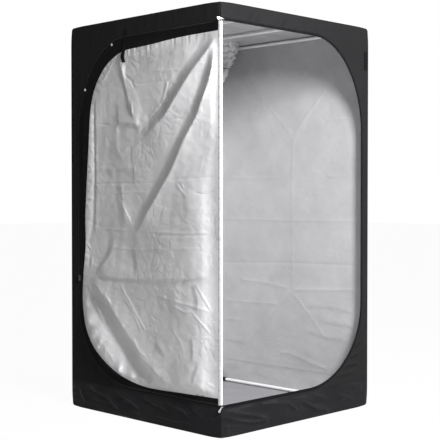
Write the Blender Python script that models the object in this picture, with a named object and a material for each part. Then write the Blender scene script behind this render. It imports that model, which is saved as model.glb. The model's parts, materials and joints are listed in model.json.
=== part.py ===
"""Indoor grow tent: a steel tube frame under a cloth cover with one zipped, D-shaped door.

Frame of the part: metres, +Z up, origin on the underside of the base at its centre. The door opening is in the
front face (-Y). The door is sewn at the front left corner and is shown folded back on to the left face (-X).
"""

import math

import bmesh
import bpy
import numpy
from mathutils import Vector

# Outside of the tent
WIDTH = 1.000
DEPTH = 1.000
HEIGHT = 1.800

# Clearances
GAP = 0.0003
RUN_GAP = 0.0004
CUT_OVERRUN = 0.010

# Cloth
CLOTH = 0.002
SKIRT_HEIGHT = 0.126

# Frame tube and corner connectors
POLE_RADIUS = 0.008
POLE_WALL = 0.0008
SWAGE_LENGTH = 0.060
SWAGE_TAPER = 0.003
POST_JOINT_HEIGHT = 0.900
SOCKET_WALL = 0.0019
CORE_LIP = 0.0003
ARM_LENGTH = 0.055
SOCKET_STOP = 0.020
ROUND_SIDES = 12
HALF_SHARE = 0.5

# Roof bars
BAR_SPACING = 0.333
BAR_SOCKET_WALL = 0.0016
BAR_SOCKET_STOP = 0.0145
BAR_SOCKET_LENGTH = 0.040
SADDLE_WIDTH = 0.026
SADDLE_DROP = 0.005
SADDLE_BACK = 0.0115

# Door opening in the front face
HEADER_HEIGHT = 0.078
RIGHT_MARGIN = 0.055
UPPER_CURVE_WIDTH = 0.350
UPPER_CURVE_HEIGHT = 0.420
LOWER_CURVE_WIDTH = 0.380
LOWER_CURVE_HEIGHT = 0.360
CURVE_STEPS = 8
PANEL_TIP_HEIGHT = 0.003

# Zip: tape width and thickness, coil width and depth, gap between the two coils when closed
RIM_TAPE = 0.012
DOOR_TAPE = 0.025
TAPE_THICKNESS = 0.0012
COIL_WIDTH = 0.003
COIL_DEPTH = 0.0024
ZIP_GAP = 0.0016

# Door
HINGE_GAP = 0.0005
DOOR_START = 0.0032
BINDING_WIDTH = 0.009
BINDING_DEPTH = 0.0024
DOOR_ROWS = 9
DOOR_COLUMNS = 17
PUFF_DEPTH = 0.020
FOLD_MARGIN = 0.120

# Valleys of the folded-back door, each a run of points given as shares of the door cloth's width, measured from its
# sewn edge, and of its height, measured from its foot. The third number is the valley's half width in metres.
VALLEY_SHARES = (
    (((0.04, 0.985), (0.30, 0.865), (0.55, 0.725), (0.67, 0.660)), 0.050),
    (((0.00, 0.950), (0.15, 0.800), (0.37, 0.600), (0.62, 0.430)), 0.055),
    (((0.72, 0.960), (0.66, 0.860), (0.60, 0.760)), 0.040),
    (((0.92, 0.830), (0.95, 0.530), (0.96, 0.310)), 0.035),
    (((0.98, 0.300), (0.68, 0.300), (0.36, 0.300), (0.04, 0.325)), 0.030),
    (((0.96, 0.285), (0.85, 0.230), (0.69, 0.120), (0.52, 0.060)), 0.055),
    (((0.98, 0.270), (0.80, 0.170), (0.70, 0.100)), 0.035),
    (((0.04, 0.010), (0.16, 0.060), (0.24, 0.110)), 0.035),
    (((0.40, 0.560), (0.46, 0.440), (0.44, 0.360)), 0.045),
)

# Door fittings
STRAP_FROM_HINGE = 0.5975
STRAP_WIDTH = 0.017
STRAP_DROP = 0.008
STRAP_LENGTH = 0.112
STRAP_THICKNESS = 0.0015
STRAP_ROWS = 8
STRAP_SAMPLES = 5
ANCHOR_HEIGHT = 0.026
EYELET_RADIUS = 0.0055
EYELET_HOLE = 0.0025
EYELET_THICKNESS = 0.0015
EYELET_ANGLES = {"top": math.radians(73), "side": math.radians(29)}
TOGGLE_HEIGHT = 0.616
TOGGLE_SIZE = (0.006, 0.012, 0.026)

# Zip sliders and their pulls
SLIDER_LENGTH = 0.016
SLIDER_FROM_CORNER = 0.003
SLIDER_PLATE = 0.0012
SLIDER_REACH = 0.0085
SLIDER_WEB = 0.0006
SLIDER_LIP = 0.0010
PIN_RADIUS = 0.0008
PIN_FROM_END = 0.003
PIN_OUTWARD = 0.0050
PIN_STANDOFF = 0.0024
CHEEK_THICKNESS = 0.0010
CHEEK_HALF = 0.0016
KNUCKLE_RADIUS = 0.0020
KNUCKLE_WIDTH = 0.0034
PULL_LENGTH = 0.030
PULL_NECK = 0.0034
PULL_WIDTH = 0.011
PULL_BEND = 0.0042
PULL_ARC = math.radians(240)
PULL_THICKNESS = 0.0014
PULL_HOLE_RADIUS = 0.0022
PULL_DROOP = {"top": 0.0, "bottom": math.radians(50)}

# Label tab, left bare
LABEL_WIDTH = 0.026
LABEL_HEIGHT = 0.086
LABEL_TOP_DROP = 0.114
LABEL_EDGE_GAP = 0.008
LABEL_THICKNESS = 0.0012

# Seam tape across the inside of the roof
ROOF_SEAM_WIDTH = 0.014
ROOF_SEAM_Y = -0.060
ROOF_SEAM_THICKNESS = 0.0010

# Roof port and its sleeve
PORT_INSET = 0.160
PORT_RADIUS = 0.100
COLLAR_WIDTH = 0.012
COLLAR_THICKNESS = 0.0015
PORT_SIDES = 36
SLEEVE_LENGTH = 0.205
SLEEVE_TIE_DROP = 0.135
SLEEVE_TIE_RADIUS = 0.048
SLEEVE_MOUTH_RADIUS = 0.018
SLEEVE_PLEATS = 9
SLEEVE_PLEAT_STEPS = 4
SLEEVE_PLEAT_DEPTH_SHARE = 0.13
SLEEVE_THICKNESS = 0.0018
# Pairs of (share of the drop, share of the way to the next radius), from the port to the tie and on to the mouth
SLEEVE_UPPER_SHARES = ((0.00, 0.00), (0.24, 0.07), (0.61, 0.53), (1.00, 1.00))
SLEEVE_LOWER_SHARES = ((0.50, 0.45), (1.00, 1.00))

# Sleeve drawstring and cord lock
CORD_RADIUS = 0.0015
CORD_TAIL = 0.085
CORD_TAIL_SPACING = 0.008
CORD_BEND = 0.006
CORD_RING_STEPS = 30
CORD_BEND_STEPS = 4
CORD_TAIL_STEPS = 7
CORD_AZIMUTH = math.radians(225)
LOCK_DROP = 0.022
LOCK_SIZE = (0.009, 0.018, 0.018)
LOCK_HOLE_RADIUS = 0.0019

# Lower vent in the back wall
VENT_WIDTH = 0.300
VENT_HEIGHT = 0.160
VENT_SILL = 0.200
NET_MARGIN = 0.012
NET_THICKNESS = 0.0010
NET_BAR = 0.006
NET_CELLS = (6, 3)
FLAP_MARGIN = 0.020

# Places that several pieces share
LEFT = -WIDTH / 2
RIGHT = WIDTH / 2
FRONT = -DEPTH / 2
BACK = DEPTH / 2
POLE_FIT_RADIUS = POLE_RADIUS + GAP
ARM_RADIUS = POLE_FIT_RADIUS + SOCKET_WALL
CORE_HALF = ARM_RADIUS + CORE_LIP
POLE_X = RIGHT - CLOTH - GAP - CORE_HALF
POLE_Y = BACK - CLOTH - GAP - CORE_HALF
RAIL_BOTTOM = CLOTH + GAP + CORE_HALF
RAIL_TOP = HEIGHT - CLOTH - GAP - CORE_HALF
WALL_FOOT = SKIRT_HEIGHT + GAP
WALL_HEAD = HEIGHT - CLOTH - GAP
OPENING_FOOT = WALL_FOOT + RIM_TAPE
OPENING_HEAD = HEIGHT - HEADER_HEIGHT
OPENING_RIGHT = RIGHT - RIGHT_MARGIN
HINGE_X = LEFT - HINGE_GAP
HINGE_Y = FRONT
DOOR_CLOTH_START = DOOR_START + BINDING_WIDTH + GAP


def clear_scene():
    for old in list(bpy.data.objects):
        bpy.data.objects.remove(old, do_unlink=True)


def make_material(name, colour, roughness, metallic=0.0):
    made = bpy.data.materials.new(name)
    made.use_nodes = True
    shader = made.node_tree.nodes["Principled BSDF"]
    shader.inputs["Base Color"].default_value = (*colour, 1.0)
    shader.inputs["Roughness"].default_value = roughness
    shader.inputs["Metallic"].default_value = metallic
    made.diffuse_color = (*colour, 1.0)
    return made


def make_materials():
    return {
        "white_steel": make_material("white_steel", (0.86, 0.86, 0.87), 0.35, 0.2),
        "black_plastic": make_material("black_plastic", (0.015, 0.015, 0.016), 0.45),
        "black_cloth": make_material("black_cloth", (0.018, 0.018, 0.019), 0.75),
        "base_cloth": make_material("base_cloth", (0.010, 0.010, 0.011), 0.50),
        "silver_cloth": make_material("silver_cloth", (0.62, 0.62, 0.64), 0.35, 0.6),
        "grey_binding": make_material("grey_binding", (0.30, 0.30, 0.31), 0.70),
        "black_tape": make_material("black_tape", (0.006, 0.006, 0.007), 0.80),
        "zip_metal": make_material("zip_metal", (0.80, 0.80, 0.82), 0.25, 1.0),
        "net": make_material("net", (0.02, 0.02, 0.02), 0.80),
    }


def add_object(name, mesh, material, location=(0.0, 0.0, 0.0), rotation=(0.0, 0.0, 0.0), parent=None):
    """Puts a mesh in the scene as one named piece."""
    piece = bpy.data.objects.new(name, mesh)
    bpy.context.scene.collection.objects.link(piece)
    piece.location = location
    piece.rotation_euler = rotation
    if parent is not None:
        piece.parent = parent
        piece.location = Vector(location) - parent.location
    if not mesh.materials:
        mesh.materials.append(material)
    return piece


def mesh_from(name, points, faces, smooth_angle=None):
    """Makes a mesh with its faces pointing out."""
    mesh = bpy.data.meshes.new(name)
    mesh.from_pydata([tuple(p) for p in points], [], faces)
    shape = bmesh.new()
    shape.from_mesh(mesh)
    bmesh.ops.recalc_face_normals(shape, faces=shape.faces)
    shape.to_mesh(mesh)
    shape.free()
    if smooth_angle is not None:
        mesh.shade_smooth()
        mesh.set_sharp_from_angle(angle=smooth_angle)
    return mesh


def box_mesh(name, low, high):
    """A box between two corners."""
    xs, ys, zs = zip(low, high)
    points = [(x, y, z) for x in xs for y in ys for z in zs]
    faces = [(0, 1, 3, 2), (4, 6, 7, 5), (0, 4, 5, 1), (2, 3, 7, 6), (0, 2, 6, 4), (1, 5, 7, 3)]
    return mesh_from(name, points, faces)


def turned_mesh(name, profile, sides=ROUND_SIDES):
    """Turns a closed profile of (radius, height) points about Z."""
    count = len(profile)
    points = []
    for k in range(sides):
        angle = 2 * math.pi * k / sides
        points += [(r * math.cos(angle), r * math.sin(angle), z) for r, z in profile]
    faces = []
    for k in range(sides):
        here = k * count
        there = (k + 1) % sides * count
        for i in range(count):
            j = (i + 1) % count
            faces.append((here + i, here + j, there + j, there + i))
    return mesh_from(name, points, faces, math.radians(40))


def tube_mesh(name, outer, inner, length, sides=ROUND_SIDES):
    """An open tube along +Z from the origin."""
    return turned_mesh(name, [(outer, 0.0), (outer, length), (inner, length), (inner, 0.0)], sides)


def rod_mesh(name, radius, start, end, axis="Z", sides=ROUND_SIDES, centre=(0.0, 0.0, 0.0)):
    """A solid rod between two places along an axis."""
    points = []
    for place in (start, end):
        for k in range(sides):
            angle = 2 * math.pi * k / sides
            across = (radius * math.cos(angle), radius * math.sin(angle))
            local = {
                "X": (place, across[0], across[1]),
                "Y": (across[0], place, across[1]),
                "Z": (across[0], across[1], place),
            }[axis]
            points.append([a + b for a, b in zip(local, centre)])
    faces = [(k, (k + 1) % sides, sides + (k + 1) % sides, sides + k) for k in range(sides)]
    faces.append(tuple(range(sides)))
    faces.append(tuple(range(2 * sides - 1, sides - 1, -1)))
    return mesh_from(name, points, faces, math.radians(40))


def prism_mesh(name, outline, low, high, axis):
    """Extrudes a flat outline between two places along X, Y or Z."""
    place = {
        "X": lambda a, b, along: (along, a, b),
        "Y": lambda a, b, along: (a, along, b),
        "Z": lambda a, b, along: (a, b, along),
    }[axis]
    count = len(outline)
    points = [place(a, b, along) for along in (low, high) for a, b in outline]
    faces = [tuple(range(count)), tuple(range(2 * count - 1, count - 1, -1))]
    faces += [(i, (i + 1) % count, count + (i + 1) % count, count + i) for i in range(count)]
    return mesh_from(name, points, faces)


def swept_mesh(name, stations, profile, place):
    """Sweeps a closed profile of (outward, depth) points along stations of (a, b, normal a, normal b)."""
    points = []
    for a, b, na, nb in stations:
        points += [place(a + na * out, b + nb * out, depth) for out, depth in profile]
    count = len(profile)
    faces = []
    for k in range(len(stations) - 1):
        for i in range(count):
            j = (i + 1) % count
            faces.append((k * count + i, k * count + j, (k + 1) * count + j, (k + 1) * count + i))
    last = (len(stations) - 1) * count
    faces.append(tuple(range(count)))
    faces.append(tuple(range(last + count - 1, last - 1, -1)))
    return mesh_from(name, points, faces)


def combined(name, base, changes):
    """Joins meshes to a base mesh, or cuts them from it, and returns the finished mesh."""
    body = bpy.data.objects.new(name, base)
    bpy.context.scene.collection.objects.link(body)
    tools = []
    for operation, tool_mesh in changes:
        tool = bpy.data.objects.new("tool", tool_mesh)
        bpy.context.scene.collection.objects.link(tool)
        tools.append(tool)
        step = body.modifiers.new(operation.lower(), "BOOLEAN")
        step.operation = operation
        step.object = tool
        step.solver = "EXACT"
    graph = bpy.context.evaluated_depsgraph_get()
    result = bpy.data.meshes.new_from_object(body.evaluated_get(graph))
    result.name = name
    for spent in [*tools, body]:
        bpy.data.objects.remove(spent, do_unlink=True)
    result.materials.clear()
    result.shade_smooth()
    result.set_sharp_from_angle(angle=math.radians(40))
    return result


def opening_stations():
    """The door opening's edge as (x, z, normal x, normal z), from the corner along the top and back along the foot."""
    start = LEFT + CLOTH + GAP
    upper = (OPENING_RIGHT - UPPER_CURVE_WIDTH, OPENING_HEAD - UPPER_CURVE_HEIGHT)
    lower = (OPENING_RIGHT - LOWER_CURVE_WIDTH, OPENING_FOOT + LOWER_CURVE_HEIGHT)
    stations = [(start, OPENING_HEAD, 0.0, 1.0)]
    for step in range(CURVE_STEPS + 1):
        angle = math.pi / 2 * (1 - step / CURVE_STEPS)
        stations.append(curve_station(upper, UPPER_CURVE_WIDTH, UPPER_CURVE_HEIGHT, angle))
    for step in range(CURVE_STEPS + 1):
        angle = -math.pi / 2 * step / CURVE_STEPS
        stations.append(curve_station(lower, LOWER_CURVE_WIDTH, LOWER_CURVE_HEIGHT, angle))
    stations.append((start, OPENING_FOOT, 0.0, -1.0))
    return stations


def curve_station(centre, width, height, angle):
    """A point on an upright ellipse with its outward normal."""
    across = math.cos(angle) / width
    up = math.sin(angle) / height
    size = math.hypot(across, up)
    x = centre[0] + width * math.cos(angle)
    z = centre[1] + height * math.sin(angle)
    return (x, z, across / size, up / size)


def door_stations():
    """The same edge in the door's own plane: (distance from the hinge, z, normals), starting at the door's binding."""
    moved = [(x - HINGE_X, z, nx, nz) for x, z, nx, nz in opening_stations()]
    moved[0] = (DOOR_CLOTH_START, *moved[0][1:])
    moved[-1] = (DOOR_CLOTH_START, *moved[-1][1:])
    return moved


# Frame

def corner_places():
    return {
        "front_left": (-1, -1),
        "front_right": (1, -1),
        "back_right": (1, 1),
        "back_left": (-1, 1),
    }


def connector_mesh():
    """Three sockets square to each other on a block, all pointing along the positive axes."""
    core = box_mesh("core", (-CORE_HALF,) * 3, (CORE_HALF,) * 3)
    changes = []
    for axis in "XYZ":
        changes.append(("UNION", rod_mesh("arm", ARM_RADIUS, 0.0, ARM_LENGTH, axis)))
    for axis in "XYZ":
        bore = rod_mesh("bore", POLE_FIT_RADIUS, SOCKET_STOP - GAP, ARM_LENGTH + CUT_OVERRUN, axis)
        changes.append(("DIFFERENCE", bore))
    return combined("connector", core, changes)


def add_connectors(materials):
    mesh = connector_mesh()
    turns = {"front_left": 0, "front_right": 1, "back_right": 2, "back_left": 3}
    for corner, (side_x, side_y) in corner_places().items():
        quarter = turns[corner] * math.pi / 2
        place = (side_x * POLE_X, side_y * POLE_Y)
        add_object(f"connector_bottom_{corner}", mesh, materials["black_plastic"],
                   (*place, RAIL_BOTTOM), (0.0, 0.0, quarter))
        add_object(f"connector_top_{corner}", mesh, materials["black_plastic"],
                   (*place, RAIL_TOP), (math.pi, 0.0, quarter + math.pi / 2))


def add_posts(materials):
    """Each post is a lower tube with a swaged end inside an upper one."""
    inner = POLE_RADIUS - POLE_WALL
    swage = inner - GAP
    foot = RAIL_BOTTOM + SOCKET_STOP
    head = RAIL_TOP - SOCKET_STOP
    lower_length = POST_JOINT_HEIGHT - foot
    lower = turned_mesh("post_lower", [
        (POLE_RADIUS, 0.0),
        (POLE_RADIUS, lower_length),
        (swage, lower_length),
        (swage, lower_length + SWAGE_LENGTH),
        (swage - POLE_WALL, lower_length + SWAGE_LENGTH),
        (swage - POLE_WALL, lower_length - POLE_WALL),
        (inner, lower_length - SWAGE_TAPER),
        (inner, 0.0),
    ])
    upper = tube_mesh("post_upper", POLE_RADIUS, inner, head - POST_JOINT_HEIGHT - GAP)
    for corner, (side_x, side_y) in corner_places().items():
        place = (side_x * POLE_X, side_y * POLE_Y)
        add_object(f"post_lower_{corner}", lower, materials["white_steel"], (*place, foot))
        add_object(f"post_upper_{corner}", upper, materials["white_steel"], (*place, POST_JOINT_HEIGHT + GAP))


def add_rails(materials):
    inner = POLE_RADIUS - POLE_WALL
    along_x = tube_mesh("rail_x", POLE_RADIUS, inner, 2 * (POLE_X - SOCKET_STOP))
    along_y = tube_mesh("rail_y", POLE_RADIUS, inner, 2 * (POLE_Y - SOCKET_STOP))
    for level, height in (("bottom", RAIL_BOTTOM), ("top", RAIL_TOP)):
        for side, y in (("front", -POLE_Y), ("back", POLE_Y)):
            start = (SOCKET_STOP - POLE_X, y, height)
            add_object(f"rail_{level}_{side}", along_x, materials["white_steel"], start, (0.0, math.pi / 2, 0.0))
        for side, x in (("left", -POLE_X), ("right", POLE_X)):
            start = (x, SOCKET_STOP - POLE_Y, height)
            add_object(f"rail_{level}_{side}", along_y, materials["white_steel"], start, (-math.pi / 2, 0.0, 0.0))


def bar_hook_mesh():
    """A saddle that snaps over the front rail, with a socket that points to +Y for the bar."""
    saddle = rod_mesh("saddle", ARM_RADIUS, -SADDLE_WIDTH / 2, SADDLE_WIDTH / 2, "X")
    socket_radius = POLE_FIT_RADIUS + BAR_SOCKET_WALL
    socket_end = BAR_SOCKET_STOP + BAR_SOCKET_LENGTH
    socket = rod_mesh("socket", socket_radius, 0.0, socket_end, "Y")
    rail = rod_mesh("rail", POLE_FIT_RADIUS, -SADDLE_WIDTH, SADDLE_WIDTH, "X")
    bore = rod_mesh("bore", POLE_FIT_RADIUS, BAR_SOCKET_STOP - GAP, socket_end + CUT_OVERRUN, "Y")
    mouth = box_mesh("mouth", (-SADDLE_WIDTH, -CUT_OVERRUN - ARM_RADIUS, -CUT_OVERRUN - ARM_RADIUS),
                     (SADDLE_WIDTH, SADDLE_BACK, -SADDLE_DROP))
    return combined("bar_hook", saddle, [
        ("UNION", socket), ("DIFFERENCE", rail), ("DIFFERENCE", bore), ("DIFFERENCE", mouth),
    ])


def add_roof_bars(materials):
    """Two bars from the front rail to the back one, each free to slide along X."""
    hook = bar_hook_mesh()
    length = 2 * (POLE_Y - BAR_SOCKET_STOP)
    bar = tube_mesh("roof_bar", POLE_RADIUS, POLE_RADIUS - POLE_WALL, length)
    for side, x in (("left", -BAR_SPACING / 2), ("right", BAR_SPACING / 2)):
        start = (x, BAR_SOCKET_STOP - POLE_Y, RAIL_TOP)
        add_object(f"roof_bar_{side}", bar, materials["white_steel"], start, (-math.pi / 2, 0.0, 0.0))
        add_object(f"roof_bar_{side}_hook_front", hook, materials["black_plastic"], (x, -POLE_Y, RAIL_TOP))
        add_object(f"roof_bar_{side}_hook_back", hook, materials["black_plastic"], (x, POLE_Y, RAIL_TOP),
                   (0.0, 0.0, math.pi))


# Cover

def add_base(materials):
    """The waterproof base: floor and turned-up skirt in one."""
    outer = box_mesh("base", (LEFT, FRONT, 0.0), (RIGHT, BACK, SKIRT_HEIGHT))
    hollow = box_mesh("hollow", (LEFT + CLOTH, FRONT + CLOTH, CLOTH),
                      (RIGHT - CLOTH, BACK - CLOTH, SKIRT_HEIGHT + CUT_OVERRUN))
    add_object("base_floor_skirt", combined("base_floor_skirt", outer, [("DIFFERENCE", hollow)]),
               materials["base_cloth"])


def add_side_walls(materials):
    for side, low_x in (("left", LEFT), ("right", RIGHT - CLOTH)):
        mesh = box_mesh(f"wall_{side}", (low_x, FRONT, WALL_FOOT), (low_x + CLOTH, BACK, WALL_HEAD))
        add_object(f"wall_{side}", mesh, materials["black_cloth"])


def add_front_panel(materials):
    """The front cloth round the opening: header, right margin and the lower right corner down to a short tip."""
    inner_edge = LEFT + CLOTH + GAP
    outer_edge = RIGHT - CLOTH - GAP
    reach = RIM_TAPE + GAP
    edge = [(x + nx * reach, z + nz * reach) for x, z, nx, nz in opening_stations()]
    edge = [point for point in edge if point[1] > WALL_FOOT + PANEL_TIP_HEIGHT]
    tip_x = edge[-1][0]
    outline = [(inner_edge, WALL_HEAD), *edge, (tip_x, WALL_FOOT), (outer_edge, WALL_FOOT), (outer_edge, WALL_HEAD)]
    mesh = prism_mesh("front_panel", outline, FRONT, FRONT + CLOTH, "Y")
    add_object("front_panel", mesh, materials["black_cloth"])


def add_rim_zip(materials):
    """The fixed half of the zip: tape sewn round the opening with its coil on the inner edge."""
    profile = [
        (0.0, 0.0), (RIM_TAPE, 0.0), (RIM_TAPE, TAPE_THICKNESS),
        (COIL_WIDTH, TAPE_THICKNESS), (COIL_WIDTH, COIL_DEPTH), (0.0, COIL_DEPTH),
    ]
    mesh = swept_mesh("rim_zip", opening_stations(), profile, lambda x, z, depth: (x, FRONT + depth, z))
    add_object("rim_zip", mesh, materials["black_tape"])


def add_back_wall(materials):
    vent_low = (-VENT_WIDTH / 2, BACK - CLOTH - CUT_OVERRUN, VENT_SILL)
    vent_high = (VENT_WIDTH / 2, BACK + CUT_OVERRUN, VENT_SILL + VENT_HEIGHT)
    wall = box_mesh("wall_back", (LEFT + CLOTH + GAP, BACK - CLOTH, WALL_FOOT), (RIGHT - CLOTH - GAP, BACK, WALL_HEAD))
    cut = combined("wall_back", wall, [("DIFFERENCE", box_mesh("vent", vent_low, vent_high))])
    add_object("wall_back", cut, materials["black_cloth"])


def add_roof(materials):
    port_x = RIGHT - PORT_INSET
    port_y = BACK - PORT_INSET
    sheet = box_mesh("roof", (LEFT, FRONT, HEIGHT - CLOTH), (RIGHT, BACK, HEIGHT))
    hole = rod_mesh("port", PORT_RADIUS, WALL_HEAD - CUT_OVERRUN, HEIGHT + CUT_OVERRUN, "Z", PORT_SIDES,
                    (port_x, port_y, 0.0))
    add_object("roof", combined("roof", sheet, [("DIFFERENCE", hole)]), materials["black_cloth"])
    collar = tube_mesh("port_collar", PORT_RADIUS + COLLAR_WIDTH, PORT_RADIUS, COLLAR_THICKNESS, PORT_SIDES)
    add_object("port_collar", collar, materials["black_tape"], (port_x, port_y, HEIGHT + GAP))
    seam_top = HEIGHT - CLOTH - GAP
    seam = box_mesh("roof_seam_tape",
                    (CORE_HALF - POLE_X, ROOF_SEAM_Y - ROOF_SEAM_WIDTH / 2, seam_top - ROOF_SEAM_THICKNESS),
                    (POLE_X - CORE_HALF, ROOF_SEAM_Y + ROOF_SEAM_WIDTH / 2, seam_top))
    add_object("roof_seam_tape", seam, materials["black_tape"])


def add_label_tab(materials):
    """A bare sewn tab at the right edge of the front."""
    right = RIGHT - LABEL_EDGE_GAP
    top = HEIGHT - LABEL_TOP_DROP
    mesh = box_mesh("label_tab", (right - LABEL_WIDTH, FRONT - GAP - LABEL_THICKNESS, top - LABEL_HEIGHT),
                    (right, FRONT - GAP, top))
    add_object("label_tab", mesh, materials["black_tape"])


# Door, modelled in its own plane: distance from the hinge, height, and depth away from the left wall

def door_place(along, height, depth):
    return (-depth, along, height)


def distance_to_run(point, run):
    """Least distance from a point to a run of straight pieces."""
    least = math.inf
    for start, end in zip(run, run[1:]):
        line = end - start
        share = max(0.0, min(1.0, (point - start).dot(line) / line.length_squared))
        least = min(least, (point - start - share * line).length)
    return least


def ramp(value, width):
    """Rises smoothly from 0 to 1 over a width."""
    share = max(0.0, min(1.0, value / width))
    return share * share * (3 - 2 * share)


def door_depth(along, height, edge_gap, low, high):
    """How far the door cloth stands off the wall: a soft puff cut by the valleys, flat at every edge."""
    stand = PUFF_DEPTH * (1.0 - math.exp(-edge_gap / FOLD_MARGIN))
    for run_shares, half_width in VALLEY_SHARES:
        run = [Vector((low[0] + a * (high[0] - low[0]), low[1] + b * (high[1] - low[1]))) for a, b in run_shares]
        distance = distance_to_run(Vector((along, height)), run)
        stand *= 1.0 - math.exp(-((distance / half_width) ** 2))
    return stand


def door_cloth_rows():
    """Rows of the door cloth, head to foot, as (height, right-hand end)."""
    inset = ZIP_GAP + DOOR_TAPE + GAP
    edge = [(along - na * inset, height - nh * inset) for along, height, na, nh in door_stations()[1:-1]]
    upper = edge[:CURVE_STEPS + 1]
    lower = edge[CURVE_STEPS + 1:]
    straight = []
    for step in range(1, DOOR_ROWS):
        share = step / DOOR_ROWS
        straight.append(tuple(a + share * (b - a) for a, b in zip(upper[-1], lower[0])))
    return [(height, along) for along, height in [*upper, *straight, *lower]]


def door_cloth_depths():
    """The cloth's depth at every row and column, with the place of each."""
    rows = door_cloth_rows()
    left = DOOR_CLOTH_START
    low = (left, rows[-1][0])
    high = (max(end for _, end in rows), rows[0][0])
    edge = [Vector((left, rows[0][0])), *[Vector((end, height)) for height, end in rows], Vector((left, rows[-1][0]))]
    edge.append(edge[0])
    grid = []
    for height, end in rows:
        line = []
        for column in range(DOOR_COLUMNS):
            along = left + (end - left) * column / (DOOR_COLUMNS - 1)
            gap = distance_to_run(Vector((along, height)), edge)
            line.append((along, height, door_depth(along, height, gap, low, high)))
        grid.append(line)
    return grid


def sheet_mesh(name, grid, thickness, place):
    """A closed sheet from a grid of (a, b, depth) points, thickened along the depth.

    Both sides are cut along the same diagonals, so the sheet is equally thick all over.
    """
    rows = len(grid)
    columns = len(grid[0])
    points = [place(a, b, depth) for line in grid for a, b, depth in line]
    points += [place(a, b, depth + thickness) for line in grid for a, b, depth in line]
    layer = rows * columns
    faces = []
    for r in range(rows - 1):
        for c in range(columns - 1):
            here = r * columns + c
            below = here + columns
            for corners in ((here, here + 1, below + 1), (here, below + 1, below)):
                faces.append(corners)
                faces.append(tuple(layer + i for i in reversed(corners)))
    rim = [c for c in range(columns)]
    rim += [r * columns + columns - 1 for r in range(1, rows)]
    rim += [(rows - 1) * columns + c for c in range(columns - 2, -1, -1)]
    rim += [r * columns for r in range(rows - 2, 0, -1)]
    for i, j in zip(rim, rim[1:] + rim[:1]):
        faces.append((i, layer + i, layer + j, j))
    return mesh_from(name, points, faces, math.radians(60))


def cloth_depth(grid, along, height):
    """The cloth's depth at a point, read between its rows and columns."""
    for upper, lower in zip(grid, grid[1:]):
        top = upper[0][1]
        foot = lower[0][1]
        if foot <= height <= top:
            share = (top - height) / (top - foot)
            above, below = [numpy.interp(along, *zip(*[(a, d) for a, _, d in line])) for line in (upper, lower)]
            return above + share * (below - above)
    return 0.0


def add_door(materials):
    hinge = bpy.data.objects.new("door_hinge_axis", None)
    hinge.location = (HINGE_X, HINGE_Y, 0.0)
    bpy.context.scene.collection.objects.link(hinge)
    bpy.context.view_layer.update()
    axis = tuple(hinge.location)

    grid = door_cloth_depths()
    cloth = sheet_mesh("door_cloth", grid, CLOTH, door_place)
    add_object("door_cloth", cloth, materials["silver_cloth"], axis, parent=hinge)

    edge = -ZIP_GAP
    profile = [
        (edge - DOOR_TAPE, 0.0), (edge, 0.0), (edge, COIL_DEPTH),
        (edge - COIL_WIDTH, COIL_DEPTH), (edge - COIL_WIDTH, TAPE_THICKNESS), (edge - DOOR_TAPE, TAPE_THICKNESS),
    ]
    zip_half = swept_mesh("door_zip", door_stations(), profile, door_place)
    add_object("door_zip", zip_half, materials["black_tape"], axis, parent=hinge)

    foot = OPENING_FOOT + ZIP_GAP
    head = OPENING_HEAD - ZIP_GAP
    binding = box_mesh("door_binding", (-BINDING_DEPTH, DOOR_START, foot),
                       (0.0, DOOR_START + BINDING_WIDTH, head))
    add_object("door_binding", binding, materials["grey_binding"], axis, parent=hinge)

    add_door_strap(materials, hinge, axis, grid, head)
    add_eyelets(materials, hinge, axis)
    add_toggle(materials, hinge, axis)


def add_door_strap(materials, hinge, axis, grid, head):
    """A webbing strap sewn at the door's head that hangs down over the silver side."""
    left = STRAP_FROM_HINGE - STRAP_WIDTH / 2
    top = head - STRAP_DROP
    spacing = STRAP_LENGTH / STRAP_ROWS
    cloth_head = grid[0][0][1]
    line_left = []
    line_right = []
    for row in range(STRAP_ROWS + 1):
        height = top - spacing * row
        under = [TAPE_THICKNESS]
        for near in numpy.linspace(height - spacing, height + spacing, STRAP_SAMPLES):
            if near < cloth_head:
                across = numpy.linspace(left, left + STRAP_WIDTH, STRAP_SAMPLES)
                under += [CLOTH + cloth_depth(grid, along, near) for along in across]
        depth = max(under) + GAP
        line_left.append((left, height, depth))
        line_right.append((left + STRAP_WIDTH, height, depth))
    strap = sheet_mesh("door_strap", [line_left, line_right], STRAP_THICKNESS, door_place)
    add_object("door_strap", strap, materials["black_tape"], axis, parent=hinge)


def add_eyelets(materials, hinge, axis):
    """Two metal eyelets on the door's zip tape, on the upper curve."""
    centre = (OPENING_RIGHT - HINGE_X - UPPER_CURVE_WIDTH, OPENING_HEAD - UPPER_CURVE_HEIGHT)
    inset = ZIP_GAP + DOOR_TAPE / 2
    for name, angle in EYELET_ANGLES.items():
        along, height, na, nh = curve_station(centre, UPPER_CURVE_WIDTH, UPPER_CURVE_HEIGHT, angle)
        along -= na * inset
        height -= nh * inset
        ring = tube_mesh(f"door_eyelet_{name}", EYELET_RADIUS, EYELET_HOLE, EYELET_THICKNESS)
        place = (axis[0] - TAPE_THICKNESS - GAP, axis[1] + along, height)
        add_object(f"door_eyelet_{name}", ring, materials["zip_metal"], place, (0.0, -math.pi / 2, 0.0), hinge)


def add_toggle(materials, hinge, axis):
    """A black toggle on the tape at the door's free side."""
    side = OPENING_RIGHT - HINGE_X - ZIP_GAP - DOOR_TAPE / 2
    depth, width, height = TOGGLE_SIZE
    near = TAPE_THICKNESS + GAP
    toggle = box_mesh("door_toggle", (-near - depth, side - width / 2, TOGGLE_HEIGHT - height / 2),
                      (-near, side + width / 2, TOGGLE_HEIGHT + height / 2))
    add_object("door_toggle", toggle, materials["black_plastic"], axis, parent=hinge)


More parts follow.
